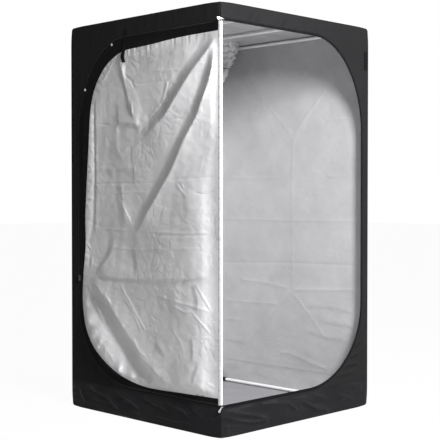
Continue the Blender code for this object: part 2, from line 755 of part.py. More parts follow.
def add_strap_anchor(materials):
    """The tab on the left wall that the strap hooks to, just above the door's head."""
    centre = HINGE_Y + STRAP_FROM_HINGE
    foot = OPENING_HEAD + GAP
    mesh = box_mesh("strap_anchor", (LEFT - GAP - STRAP_THICKNESS, centre - STRAP_WIDTH / 2, foot),
                    (LEFT - GAP, centre + STRAP_WIDTH / 2, foot + ANCHOR_HEIGHT))
    add_object("strap_anchor", mesh, materials["black_tape"])


# Zip sliders

def slider_section():
    """The slider's section as (outward from the opening's edge, depth): two plates, a wall between the coils, a lip."""
    inner_wall = -RUN_GAP
    outer_wall = inner_wall - SLIDER_WEB
    plate_in = COIL_DEPTH + RUN_GAP
    lip = COIL_WIDTH + RUN_GAP
    return [
        (outer_wall, -RUN_GAP - SLIDER_PLATE), (SLIDER_REACH, -RUN_GAP - SLIDER_PLATE),
        (SLIDER_REACH, -RUN_GAP), (inner_wall, -RUN_GAP), (inner_wall, plate_in), (lip, plate_in),
        (lip, TAPE_THICKNESS + RUN_GAP), (lip + SLIDER_LIP, TAPE_THICKNESS + RUN_GAP), (lip + SLIDER_LIP, plate_in),
        (SLIDER_REACH, plate_in), (SLIDER_REACH, plate_in + SLIDER_PLATE), (outer_wall, plate_in + SLIDER_PLATE),
    ]


def slider_mesh(name, outward):
    """A slider along +X from the origin; outward is 1 where the zip's tape runs up from its coil, -1 where down."""
    section = [(depth, outward * out) for out, depth in slider_section()]
    body = prism_mesh(name, section, 0.0, SLIDER_LENGTH, "X")
    face = -RUN_GAP - SLIDER_PLATE
    pin_depth = face - PIN_STANDOFF
    pin_z = outward * PIN_OUTWARD
    inside = KNUCKLE_WIDTH / 2 + GAP
    outside = inside + CHEEK_THICKNESS
    changes = []
    for side in (-1, 1):
        ends = sorted((pin_z + side * inside, pin_z + side * outside))
        cheek = box_mesh("cheek", (PIN_FROM_END - CHEEK_HALF, pin_depth - CHEEK_HALF, ends[0]),
                         (PIN_FROM_END + CHEEK_HALF, face + SLIDER_PLATE / 2, ends[1]))
        changes.append(("UNION", cheek))
    pin_end = (inside + outside) / 2
    changes.append(("UNION", rod_mesh("pin", PIN_RADIUS, -pin_end, pin_end, "Z", ROUND_SIDES,
                                      (PIN_FROM_END, pin_depth, pin_z))))
    return combined(name, body, changes)


def pull_mesh(name, droop):
    """A drop-shaped pull with its knuckle on the Z axis, pointing to -X and down by the droop."""
    bore = PIN_RADIUS + GAP
    knuckle = rod_mesh("knuckle", KNUCKLE_RADIUS, -KNUCKLE_WIDTH / 2, KNUCKLE_WIDTH / 2)
    radius = PULL_WIDTH / 2
    neck = PULL_NECK / 2
    start = (bore + KNUCKLE_RADIUS) / 2
    tip = PULL_LENGTH - PULL_BEND - radius
    corner = neck * math.tan(droop / 2)

    def beyond_bend(a, b):
        return (-PULL_BEND - a * math.cos(droop) - b * math.sin(droop), b * math.cos(droop) - a * math.sin(droop))

    outline = [(-PULL_BEND - corner, neck), (-start, neck), (-start, -neck), (corner - PULL_BEND, -neck)]
    for step in range(ROUND_SIDES - 1):
        angle = PULL_ARC * (step / (ROUND_SIDES - 2) - HALF_SHARE)
        outline.append(beyond_bend(tip + radius * math.cos(angle), radius * math.sin(angle)))
    plate = prism_mesh(name, outline, -PULL_THICKNESS / 2, PULL_THICKNESS / 2, "Y")
    hole_x, hole_z = beyond_bend(tip, 0.0)
    hole = rod_mesh("hole", PULL_HOLE_RADIUS, -KNUCKLE_WIDTH, KNUCKLE_WIDTH, "Y", ROUND_SIDES, (hole_x, 0.0, hole_z))
    bore_rod = rod_mesh("bore", bore, -PULL_LENGTH, PULL_LENGTH)
    return combined(name, plate, [("UNION", knuckle), ("DIFFERENCE", bore_rod), ("DIFFERENCE", hole)])


def add_sliders(materials):
    """A slider on each straight run of the rim's zip, parked at the corner, with its pull turned past the corner."""
    start = LEFT + SLIDER_FROM_CORNER
    pin_depth = -RUN_GAP - SLIDER_PLATE - PIN_STANDOFF
    for name, edge, outward in (("top", OPENING_HEAD, 1), ("bottom", OPENING_FOOT, -1)):
        slider = slider_mesh(f"slider_{name}", outward)
        add_object(f"slider_{name}", slider, materials["zip_metal"], (start, FRONT, edge))
        pull = pull_mesh(f"slider_{name}_pull", PULL_DROOP[name])
        pin = (start + PIN_FROM_END, FRONT + pin_depth, edge + outward * PIN_OUTWARD)
        add_object(f"slider_{name}_pull", pull, materials["zip_metal"], pin)


# Air

def sleeve_rings():
    """The sleeve's rings as (height, radius, pleat share), from the roof down."""
    top_radius = PORT_RADIUS + SLEEVE_THICKNESS
    lower_drop = SLEEVE_LENGTH - SLEEVE_TIE_DROP
    rings = []
    for drop_share, radius_share in SLEEVE_UPPER_SHARES:
        height = WALL_HEAD - SLEEVE_TIE_DROP * drop_share
        radius = top_radius + (SLEEVE_TIE_RADIUS - top_radius) * radius_share
        rings.append((height, radius, drop_share))
    for drop_share, radius_share in SLEEVE_LOWER_SHARES:
        height = WALL_HEAD - SLEEVE_TIE_DROP - lower_drop * drop_share
        radius = SLEEVE_TIE_RADIUS + (SLEEVE_MOUTH_RADIUS - SLEEVE_TIE_RADIUS) * radius_share
        rings.append((height, radius, 1.0))
    return rings


def add_sleeve(materials):
    """A cloth sleeve sewn under the roof round the port, gathered by its drawstring."""
    sides = SLEEVE_PLEATS * SLEEVE_PLEAT_STEPS
    rings = sleeve_rings()
    points = []
    for inward in (0.0, SLEEVE_THICKNESS):
        for height, radius, pleat_share in rings:
            for k in range(sides):
                angle = CORD_AZIMUTH + 2 * math.pi * k / sides
                wave = math.cos(2 * math.pi * k / SLEEVE_PLEAT_STEPS)
                reach = radius * (1 + SLEEVE_PLEAT_DEPTH_SHARE * pleat_share * wave) - inward
                points.append((reach * math.cos(angle), reach * math.sin(angle), height))
    layer = len(rings) * sides
    faces = []
    for k in range(sides):
        step = (k + 1) % sides
        for r in range(len(rings) - 1):
            quad = (r * sides + k, r * sides + step, (r + 1) * sides + step, (r + 1) * sides + k)
            for corners in ((quad[0], quad[1], quad[2]), (quad[0], quad[2], quad[3])):
                faces.append(corners)
                faces.append(tuple(layer + i for i in reversed(corners)))
        for r in (0, len(rings) - 1):
            faces.append((r * sides + k, r * sides + step, layer + r * sides + step, layer + r * sides + k))
    mesh = mesh_from("duct_sleeve", points, faces, math.radians(60))
    add_object("duct_sleeve", mesh, materials["silver_cloth"], (RIGHT - PORT_INSET, BACK - PORT_INSET, 0.0))


def cord_tail_reach():
    """How far the drawstring's tails hang from the sleeve's axis."""
    return SLEEVE_TIE_RADIUS * (1 + SLEEVE_PLEAT_DEPTH_SHARE) + CORD_RADIUS + GAP


def drawstring_route():
    """Up one tail, round the sleeve and down the other, as (reach, sideways, height) about the sleeve's axis."""
    tie = WALL_HEAD - SLEEVE_TIE_DROP
    reach = cord_tail_reach()
    side = CORD_TAIL_SPACING / 2
    ring_side = side + CORD_BEND
    ring = math.hypot(reach, ring_side)
    start = math.atan2(ring_side, reach)
    half = []
    for step in range(CORD_TAIL_STEPS):
        half.append((reach, side, tie - CORD_BEND - (CORD_TAIL - CORD_BEND) * (1 - step / CORD_TAIL_STEPS)))
    for step in range(CORD_BEND_STEPS):
        angle = math.pi / 2 * step / CORD_BEND_STEPS
        half.append((reach, side + CORD_BEND * (1 - math.cos(angle)), tie - CORD_BEND * (1 - math.sin(angle))))
    turn = []
    for step in range(CORD_RING_STEPS + 1):
        angle = start + (2 * math.pi - 2 * start) * step / CORD_RING_STEPS
        turn.append((ring * math.cos(angle), ring * math.sin(angle), tie))
    other = [(a, -b, z) for a, b, z in reversed(half)]
    return [*half, *turn, *other]


def add_drawstring(materials):
    """The cord that gathers the sleeve, with the lock that holds its two tails."""
    curve = bpy.data.curves.new("sleeve_drawstring", "CURVE")
    curve.dimensions = "3D"
    curve.bevel_depth = CORD_RADIUS
    curve.bevel_resolution = 2
    curve.use_fill_caps = True
    route = drawstring_route()
    spline = curve.splines.new("POLY")
    spline.points.add(len(route) - 1)
    for point, place in zip(spline.points, route):
        point.co = (*place, 1.0)
    centre = (RIGHT - PORT_INSET, BACK - PORT_INSET, 0.0)
    add_object("sleeve_drawstring", curve, materials["black_tape"], centre, (0.0, 0.0, CORD_AZIMUTH))

    depth, width, height = LOCK_SIZE
    body = box_mesh("cord_lock", (-depth / 2, -width / 2, -height / 2), (depth / 2, width / 2, height / 2))
    changes = []
    for side in (-1, 1):
        place = (0.0, side * CORD_TAIL_SPACING / 2, 0.0)
        changes.append(("DIFFERENCE", rod_mesh("hole", LOCK_HOLE_RADIUS, -height, height, "Z", ROUND_SIDES, place)))
    reach = cord_tail_reach()
    lock_z = WALL_HEAD - SLEEVE_TIE_DROP - LOCK_DROP
    lock_place = (centre[0] + reach * math.cos(CORD_AZIMUTH), centre[1] + reach * math.sin(CORD_AZIMUTH), lock_z)
    add_object("cord_lock", combined("cord_lock", body, changes), materials["black_plastic"], lock_place,
               (0.0, 0.0, CORD_AZIMUTH))


def net_breaks(low, high, size, count):
    """Places of a net's bars along one side: border, gap, bar, gap and so on to the other border."""
    pitch = size / count
    breaks = [low]
    for cell in range(count):
        start = -size / 2 + pitch * cell
        breaks += [start + NET_BAR / 2, start + pitch - NET_BAR / 2]
    return [*breaks, high]


def net_mesh(name, xs, zs, low_y, high_y):
    """A flat net from its bars' places; every second cell each way is a gap."""
    columns = len(xs)
    points = [(x, y, z) for y in (low_y, high_y) for z in zs for x in xs]
    layer = columns * len(zs)

    def is_gap(c, r):
        return c % 2 == 1 and r % 2 == 1

    def is_cloth(c, r):
        return 0 <= c < columns - 1 and 0 <= r < len(zs) - 1 and not is_gap(c, r)

    faces = []
    for r in range(len(zs) - 1):
        for c in range(columns - 1):
            if is_gap(c, r):
                continue
            low = r * columns + c
            corners = (low, low + 1, low + columns + 1, low + columns)
            faces.append(corners)
            faces.append(tuple(layer + i for i in reversed(corners)))
            for (dc, dr), (i, j) in (((0, -1), (0, 1)), ((1, 0), (1, 2)), ((0, 1), (2, 3)), ((-1, 0), (3, 0))):
                if not is_cloth(c + dc, r + dr):
                    faces.append((corners[i], layer + corners[i], layer + corners[j], corners[j]))
    return mesh_from(name, points, faces)


def add_vent(materials):
    """A netted air inlet low in the back wall, with a flap outside that lifts about its upper edge."""
    middle = VENT_SILL + VENT_HEIGHT / 2
    across, up = NET_CELLS
    half_width = VENT_WIDTH / 2 + NET_MARGIN
    half_height = VENT_HEIGHT / 2 + NET_MARGIN
    xs = net_breaks(-half_width, half_width, VENT_WIDTH, across)
    zs = [middle + z for z in net_breaks(-half_height, half_height, VENT_HEIGHT, up)]
    inner_face = BACK - CLOTH - GAP
    net = net_mesh("vent_net", xs, zs, inner_face - NET_THICKNESS, inner_face)
    add_object("vent_net", net, materials["net"])

    flap_height = VENT_HEIGHT + 2 * FLAP_MARGIN
    flap = box_mesh("vent_flap", (-VENT_WIDTH / 2 - FLAP_MARGIN, -CLOTH, -flap_height),
                    (VENT_WIDTH / 2 + FLAP_MARGIN, 0.0, 0.0))
    hinge = (0.0, BACK + GAP + CLOTH, VENT_SILL + VENT_HEIGHT + FLAP_MARGIN)
    add_object("vent_flap", flap, materials["black_cloth"], hinge)


def main():
    clear_scene()
    materials = make_materials()
    add_connectors(materials)
    add_posts(materials)
    add_rails(materials)
    add_roof_bars(materials)
    add_base(materials)
    add_side_walls(materials)
    add_front_panel(materials)
    add_rim_zip(materials)
    add_back_wall(materials)
    add_roof(materials)
    add_label_tab(materials)
    add_door(materials)
    add_strap_anchor(materials)
    add_sliders(materials)
    add_sleeve(materials)
    add_drawstring(materials)
    add_vent(materials)


main()
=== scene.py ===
"""Looks of the indoor grow tent: cloth cover, folded-back door, steel tube frame and air fittings.

Frame of the part: metres, +Z up, origin on the underside of the base at its centre. The door opening is in the front
face (-Y). The door is sewn at the front left corner and lies folded back on the left face (-X), silver side out.
"""

from __future__ import annotations

import functools
import json
import logging
import math
from collections.abc import Callable, Sequence
from dataclasses import dataclass, field
from enum import Enum

import bpy
import numpy as np
from mathutils import Euler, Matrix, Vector, kdtree
from mathutils.geometry import delaunay_2d_cdt

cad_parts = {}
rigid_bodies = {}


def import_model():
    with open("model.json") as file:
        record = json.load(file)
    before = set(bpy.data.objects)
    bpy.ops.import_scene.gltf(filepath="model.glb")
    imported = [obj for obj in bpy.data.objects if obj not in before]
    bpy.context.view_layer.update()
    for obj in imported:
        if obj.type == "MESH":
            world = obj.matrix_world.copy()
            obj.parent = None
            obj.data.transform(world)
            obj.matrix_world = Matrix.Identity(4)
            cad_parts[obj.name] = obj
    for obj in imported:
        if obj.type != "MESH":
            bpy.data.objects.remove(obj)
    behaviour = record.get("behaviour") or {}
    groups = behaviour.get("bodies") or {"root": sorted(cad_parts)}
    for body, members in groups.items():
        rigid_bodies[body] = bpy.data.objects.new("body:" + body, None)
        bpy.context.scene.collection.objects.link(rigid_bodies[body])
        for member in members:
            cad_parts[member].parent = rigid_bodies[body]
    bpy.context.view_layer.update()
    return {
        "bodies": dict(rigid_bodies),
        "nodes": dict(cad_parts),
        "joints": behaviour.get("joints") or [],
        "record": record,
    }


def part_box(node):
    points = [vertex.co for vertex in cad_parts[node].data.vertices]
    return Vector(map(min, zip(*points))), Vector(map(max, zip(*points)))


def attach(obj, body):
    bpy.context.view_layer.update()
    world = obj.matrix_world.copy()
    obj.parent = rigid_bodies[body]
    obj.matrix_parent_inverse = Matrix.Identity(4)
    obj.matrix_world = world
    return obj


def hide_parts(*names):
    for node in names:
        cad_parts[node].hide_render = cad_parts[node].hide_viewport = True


log = logging.getLogger("grow_tent")

Vec2 = tuple[float, float]
Vec3 = tuple[float, float, float]
Array = np.ndarray
Place = Callable[[Array, Array, Array], Array]
Depth = Callable[[Array, Array], Array]
Faces = list[tuple[int, ...]]
Socket = bpy.types.NodeSocket
Piece = bpy.types.Object

HALF_WIDTH = 0.500
HEIGHT = 1.800
COVER_HEAD = 1.7977
POST = 0.4872
RAIL_LOW = 0.0128
RAIL_HIGH = 1.7872
TUBE_RADIUS = 0.008
PORT = (0.340, 0.340)
DOOR_PLANE = -0.5005
TO_LEFT, TO_FRONT, TO_BACK = (-1.0, 0.0, 0.0), (0.0, -1.0, 0.0), (0.0, 1.0, 0.0)
UP, DOWN = (0.0, 0.0, 1.0), (0.0, 0.0, -1.0)


# Small tools that every piece uses


def linear(colour: str) -> tuple[float, float, float, float]:
    """Turns an sRGB colour written as "#rrggbb" into linear red, green and blue, with an alpha of 1."""
    parts = [int(colour[i : i + 2], 16) / 255 for i in (1, 3, 5)]
    red, green, blue = [c / 12.92 if c <= 0.04045 else ((c + 0.055) / 1.055) ** 2.4 for c in parts]
    return (red, green, blue, 1.0)


def add_node(tree: bpy.types.NodeTree, kind: str, settings: dict | None = None, inputs: dict | None = None):
    """Adds a node with its settings and links.

    Args:
        tree: the tree that gets the node.
        kind: the node's type name.
        settings: its own properties by name.
        inputs: its sockets by name or number, each a plain value or a socket to link from.

    Returns:
        The new node.
    """
    node = tree.nodes.new(kind)
    for name, value in (settings or {}).items():
        setattr(node, name, value)
    for key, value in (inputs or {}).items():
        if isinstance(value, bpy.types.NodeSocket):
            tree.links.new(value, node.inputs[key])
        else:
            node.inputs[key].default_value = value
    return node


def smooth(value: Array | float, low: float, high: float) -> Array:
    """Rises smoothly from 0 at low to 1 at high (falls when low is above high)."""
    share = np.clip((np.asarray(value, float) - low) / (high - low), 0.0, 1.0)
    return share * share * (3 - 2 * share)


def unit(rows: Array) -> Array:
    """Rows of directions, each made 1 long."""
    return rows / np.linalg.norm(rows, axis=1)[:, None]


def lengths_along(path: Array) -> Array:
    """How far along a path each of its places lies."""
    return np.r_[0.0, np.cumsum(np.linalg.norm(np.diff(path, axis=0), axis=1))]


def loop_area(loop: Array) -> float:
    """The area within a closed flat loop."""
    return float(0.5 * abs(np.dot(loop[:, 0], np.roll(loop[:, 1], 1)) - np.dot(loop[:, 1], np.roll(loop[:, 0], 1))))


def box_of(low: Vec2, high: Vec2) -> list[Vec2]:
    """The corners of an upright rectangle."""
    return [(low[0], low[1]), (high[0], low[1]), (high[0], high[1]), (low[0], high[1])]


def mm(*numbers: float) -> tuple[Vec2, ...]:
    """Pairs numbers in millimetres up into places in metres."""
    return tuple((a / 1000, b / 1000) for a, b in zip(numbers[::2], numbers[1::2]))


def ripple(position: Array, seed: int, wavelength: float) -> Array:
    """An uneven wave between about -1 and 1 along one measure, of a usual wavelength; a seed picks it."""
    draw = np.random.default_rng(seed)
    total = np.zeros_like(np.asarray(position, float))
    for _ in range(5):
        length = wavelength * draw.uniform(0.62, 1.7)
        total += draw.uniform(0.5, 1.0) * np.sin(2 * math.pi * position / length + draw.uniform(0, 6.3))
    return total / 2.4


def crumple(a: Array, b: Array, seed: int, size: float, layers: int = 3) -> Array:
    """Soft unevenness over a surface, always the same for a seed.

    Args:
        a: the places across, in metres.
        b: the places along, in metres.
        seed: picks the pattern.
        size: how far apart its bumps are, in metres.
        layers: how many finer layers are laid over it.

    Returns:
        Values between about -1 and 1.
    """
    draw = np.random.default_rng(seed)
    total = np.zeros_like(np.asarray(a, float))
    weight = 1.0
    for _ in range(layers):
        for _ in range(5):
            turn = draw.uniform(0, math.pi)
            length = size * draw.uniform(0.7, 1.5)
            phase = 2 * math.pi * (a * math.cos(turn) + b * math.sin(turn)) / length
            bend = 0.8 * np.sin(2 * math.pi * (b * math.cos(turn) - a * math.sin(turn)) / (length * 1.9))
            total += weight * np.sin(phase + bend + draw.uniform(0, 6.3)) / 5
        size *= 0.47
        weight *= 0.5
    return total


def run_measures(a: Array, b: Array, run: Sequence[Vec2]) -> tuple[Array, Array, float]:
    """Measures places (a across, b along) against a run of straight pieces.

    Returns:
        The signed distance (positive to the left of the run), the distance along it, and its length.
    """
    best = np.full(np.shape(a), np.inf)
    signed = np.zeros(np.shape(a))
    along = np.zeros(np.shape(a))
    length = 0.0
    for (a0, b0), (a1, b1) in zip(run, run[1:]):
        da, db = a1 - a0, b1 - b0
        size = math.hypot(da, db)
        share = np.clip(((a - a0) * da + (b - b0) * db) / size**2, 0.0, 1.0)
        off_a, off_b = a - a0 - share * da, b - b0 - share * db
        distance = np.hypot(off_a, off_b)
        nearer = distance < best
        side = np.where(da * off_b - db * off_a >= 0, 1.0, -1.0)
        best = np.where(nearer, distance, best)
        signed = np.where(nearer, side * distance, signed)
        along = np.where(nearer, length + share * size, along)
        length += size
    return signed, along, length


def faded(along: Array, length: float, start: float, end: float) -> Array:
    """1 along a run, fading to 0 over a distance at its start and at its end."""
    return smooth(along, -0.001, start) * smooth(along, length + 0.001, length - end)


@dataclass(frozen=True)
class Fold:
    """A soft fold: the cloth climbs to a crest and drops over a short band, then climbs slowly again.

    The run's left side is the low side. Lengths are in metres.
    """

    run: tuple[Vec2, ...]
    drop: float
    band: float
    crest_reach: float = 0.09
    low_reach: float = 0.07
    crest_share: float = 0.6
    start_fade: float = 0.10
    end_fade: float = 0.12

    def height(self, a: Array, b: Array) -> Array:
        """How much the fold lifts or lowers the cloth at each place."""
        distance, along, length = run_measures(a, b, self.run)
        crest = self.drop * self.crest_share * np.exp(np.minimum(distance + self.band / 2, 0) / self.crest_reach)
        low = -self.drop * (1 - self.crest_share) * np.exp(-np.maximum(distance - self.band / 2, 0) / self.low_reach)
        turn = 1 - (1 - np.clip(distance / self.band + 0.5, 0.0, 1.0)) ** 1.9
        return faded(along, length, self.start_fade, self.end_fade) * (crest * (1 - turn) + low * turn)


@dataclass(frozen=True)
class Crease:
    """A narrow pressed line, raised (positive) or sunk (negative). Lengths are in metres."""

    run: tuple[Vec2, ...]
    lift: float
    width: float = 0.005
    fade: float = 0.02

    def height(self, a: Array, b: Array) -> Array:
        """How much the crease lifts or lowers the cloth at each place."""
        distance, along, length = run_measures(a, b, self.run)
        return faded(along, length, self.fade, self.fade) * self.lift * np.exp(-((distance / self.width) ** 2))


def rows_of(kind: type, *rows: Sequence) -> tuple:
    """Folds or creases from rows of thousandths: each run's numbers, then the values that follow it."""
    return tuple(kind(mm(*run), *(value / 1000 for value in rest)) for run, *rest in rows)


def relief(lines: Sequence[Fold | Crease], a: Array, b: Array) -> Array:
    """What some folds or creases add up to at each place."""
    return sum((line.height(a, b) for line in lines), np.zeros_like(a))


# Finishes


class Coordinates(Enum):
    """What a pattern follows: the cloth's own measure or the object's space."""

    CLOTH = "UV"
    SPACE = "Object"


class Recipe:
    """A material being made: each method adds one node and gives its result."""

    def __init__(self, name: str) -> None:
        """Starts a material of a name."""
        self.material = bpy.data.materials.new(name)
        self.material.use_nodes = True
        self.tree = self.material.node_tree
        self.shader = self.tree.nodes["Principled BSDF"]
        self.where = add_node(self.tree, "ShaderNodeTexCoord").outputs

    def noise(self, scale: float, detail: float, vector: Socket | None = None, out: int = 0, **more: float) -> Socket:
        """Clouds of a scale and detail, in the object's space unless a vector is given."""
        inputs = {"Vector": vector or self.where["Object"], "Scale": scale, "Detail": detail, **more}
        return add_node(self.tree, "ShaderNodeTexNoise", None, inputs).outputs[out]

    def stretched(self, follows: Coordinates, scale: Vec3, degrees: float = 0.0) -> Socket:
        """Coordinates turned about their third axis and scaled."""
        return add_node(self.tree, "ShaderNodeMapping", None,
                        {"Vector": self.where[follows.value], "Rotation": (0.0, 0.0, math.radians(degrees)),
                         "Scale": scale}).outputs[0]

    def ribs(self, pitch: float, way: str, follows: Coordinates) -> Socket:
        """Even ribs, a pitch apart in metres."""
        return add_node(self.tree, "ShaderNodeTexWave", {"bands_direction": way},
                        {"Vector": self.where[follows.value], "Scale": math.pi / 10 / pitch}).outputs[1]

    def weave(self, pitch: float, follows: Coordinates = Coordinates.CLOTH) -> Socket:
        """Crossing yarns, a pitch apart in metres."""
        return self.sum_of("MULTIPLY", self.ribs(pitch, "X", follows), self.ribs(pitch, "Y", follows))

    def sum_of(self, operation: str, one: Socket, two: Socket | float) -> Socket:
        """Two values put together by a named operation."""
        return add_node(self.tree, "ShaderNodeMath", {"operation": operation}, {0: one, 1: two}).outputs[0]

    def blend(self, share: Socket | float, low: Socket | tuple, high: Socket | tuple, way: str = "MIX") -> Socket:
        """A colour between two, by a share."""
        return add_node(self.tree, "ShaderNodeMix", {"data_type": "RGBA", "blend_type": way},
                        {0: share, 6: low, 7: high}).outputs[2]

    def spread(self, value: Socket, low: float, high: float, to_low: float, to_high: float) -> Socket:
        """A value's range turned into another range."""
        return add_node(self.tree, "ShaderNodeMapRange", None,
                        {0: value, 1: low, 2: high, 3: to_low, 4: to_high}).outputs[0]

    def bump(self, height: Socket, strength: float, distance: float, over: Socket | None = None) -> Socket:
        """Relief of a strength and a depth in metres, laid over another one."""
        inputs = {"Strength": strength, "Distance": distance, "Height": height}
        return add_node(self.tree, "ShaderNodeBump", None, inputs | ({"Normal": over} if over else {})).outputs[0]

    def done(self, colour: Socket, roughness: Socket, normal: Socket, **values: float) -> bpy.types.Material:
        """Ties the patterns to the shader, with its plain values by name."""
        for name, socket in (("Base Color", colour), ("Roughness", roughness), ("Normal", normal)):
            self.tree.links.new(socket, self.shader.inputs[name])
        for name, value in values.items():
            self.shader.inputs[name.replace("_", " ")].default_value = value
        return self.material


@dataclass(frozen=True)
class WovenCloth:
    """Polyester oxford, woven from flat yarns and coated on the back: a dull, greyed black with a fine weave."""

    name: str = "black_oxford_cloth"
    colour: str = "#1b1b1c"
    worn: str = "#262627"
    thread: float = 0.0011
    roughness: float = 0.78
    gloss: float = 0.03
    wrinkle: float = 0.45

    def make(self) -> bpy.types.Material:
        """Builds the material: yarns drawn 1.1 mm wide, twice their real width, so that they show close by."""
        made = Recipe(self.name)
        cloud = made.noise(3.5, 5.0)
        shade = made.blend(cloud, linear(self.colour), linear(self.worn))
        weave = made.weave(self.thread)
        lift = made.blend(0.80, made.blend(0.35, shade, weave, "MULTIPLY"), shade)
        creased = made.noise(1.0, 4.0, made.stretched(Coordinates.SPACE, (17.0, 17.0, 6.0)), Distortion=0.6)
        fine = made.bump(weave, 0.5, 0.0003, made.bump(creased, self.wrinkle, 0.011))
        rub = made.spread(cloud, 0.3, 0.7, self.roughness - 0.06, self.roughness + 0.06)
        return made.done(lift, rub, fine, Specular_IOR_Level=self.gloss)


@dataclass(frozen=True)
class CoatedCloth:
    """Heavy coated polyester of the tray: a slick black that breaks into bright streaks where it creases."""

    name: str = "black_coated_base_cloth"
    colour: str = "#171719"
    worn: str = "#222224"
    roughness: float = 0.34
    gloss: float = 0.03

    def make(self) -> bpy.types.Material:
        """Builds the material: long slanted creases some 30 mm apart under a fine grain of 1.5 mm."""
        made = Recipe(self.name)
        cloud = made.noise(6.0, 4.0)
        creased = made.noise(1.0, 2.0, made.stretched(Coordinates.CLOTH, (3.0, 15.0, 1.0), 36), Distortion=0.3)
        fine = made.bump(made.noise(650.0, 1.0), 0.25, 0.0003, made.bump(creased, 0.85, 0.040))
        rub = made.spread(cloud, 0.3, 0.7, self.roughness - 0.08, self.roughness + 0.10)
        shade = made.blend(cloud, linear(self.colour), linear(self.worn))
        return made.done(shade, rub, fine, Specular_IOR_Level=self.gloss)


@dataclass(frozen=True)
class SilverFilm:
    """Metallised film laminated on the cloth's inner side: satin silver, a pressed grain, fine crackled creases."""

    name: str = "metallised_silver_film"
    colour: str = "#c9c9ca"
    shaded: str = "#a7a7a9"
    metal: float = 0.12
    roughness: float = 0.42
    crackle: float = 0.30
    wrinkle: float = 0.30
    grain: float = 0.0016

    def make(self) -> bpy.types.Material:
        """Builds the material: cloudy tone, crackle about 45 and 20 mm across, and a woven grain drawn 1.6 mm wide."""
        made = Recipe(self.name)
        cloud = made.noise(7.0, 6.0, Roughness=0.6)
        warped = add_node(made.tree, "ShaderNodeVectorMath", {"operation": "MULTIPLY_ADD"},
                          {0: made.noise(9.0, 2.0, out=1), 1: (0.09, 0.09, 0.09), 2: made.where["Object"]})
        lines = []
        for scale, width, depth in ((17.0, 0.16, 1.0), (41.0, 0.22, 0.45)):
            cells = add_node(made.tree, "ShaderNodeTexVoronoi", {"feature": "DISTANCE_TO_EDGE"},
                             {"Vector": warped.outputs[0], "Scale": scale})
            lines.append(made.spread(cells.outputs[0], 0.0, width, 0.0, depth))
        patch = made.spread(made.noise(4.0, 1.0), 0.42, 0.62, 0.15, 1.0)
        cracked = made.sum_of("MULTIPLY", made.sum_of("ADD", *lines), patch)
        broad = made.bump(cracked, self.crackle, 0.0016, made.bump(cloud, self.wrinkle, 0.006))
        fine = made.bump(made.weave(self.grain), 0.35, 0.00025, broad)
        rub = made.spread(cloud, 0.35, 0.65, self.roughness + 0.06, self.roughness - 0.05)
        return made.done(made.blend(cloud, linear(self.shaded), linear(self.colour)), rub, fine, Metallic=self.metal)


@dataclass(frozen=True)
class Webbing:
    """Woven polyester tape: matt, with ribs across its length."""

    name: str = "black_woven_tape"
    colour: str = "#0b0b0c"
    worn: str = "#151517"
    rib: float = 0.0014
    roughness: float = 0.84
    gloss: float = 0.05

    def make(self) -> bpy.types.Material:
        """Builds the material: ribs drawn 1.4 mm apart, about twice the real count."""
        made = Recipe(self.name)
        cloud = made.noise(30.0, 4.0)
        ribs = made.ribs(self.rib, "DIAGONAL", Coordinates.SPACE)
        fine = made.bump(ribs, 0.6, 0.0004, made.bump(cloud, 0.3, 0.002))
        rub = made.spread(ribs, 0.0, 1.0, self.roughness + 0.06, self.roughness - 0.05)
        shade = made.blend(cloud, linear(self.colour), linear(self.worn))
        return made.done(shade, rub, fine, Specular_IOR_Level=self.gloss)


@dataclass(frozen=True)
class HardFinish:
    """A moulded, plated or powder-coated surface, told apart by its values: even colour, fine grain, rubbed patches.
    """

    name: str
    colour: str
    worn: str
    roughness: float
    metal: float = 0.0
    gloss: float = 0.5
    grain: float = 900.0
    grain_depth: float = 0.0001

    def make(self) -> bpy.types.Material:
        """Builds the material: rubbed patches of some 20 mm over a grain of about a millimetre."""
        made = Recipe(self.name)
        cloud = made.noise(48.0, 5.0)
        shade = made.blend(made.spread(cloud, 0.52, 0.74, 0.0, 1.0), linear(self.colour), linear(self.worn))
        fine = made.bump(made.noise(self.grain, 2.0), 0.3, self.grain_depth)
        rub = made.spread(cloud, 0.3, 0.7, self.roughness - 0.05, self.roughness + 0.08)
        gloss = {} if self.metal else {"Specular_IOR_Level": self.gloss}
        return made.done(shade, rub, fine, Metallic=self.metal, **gloss)


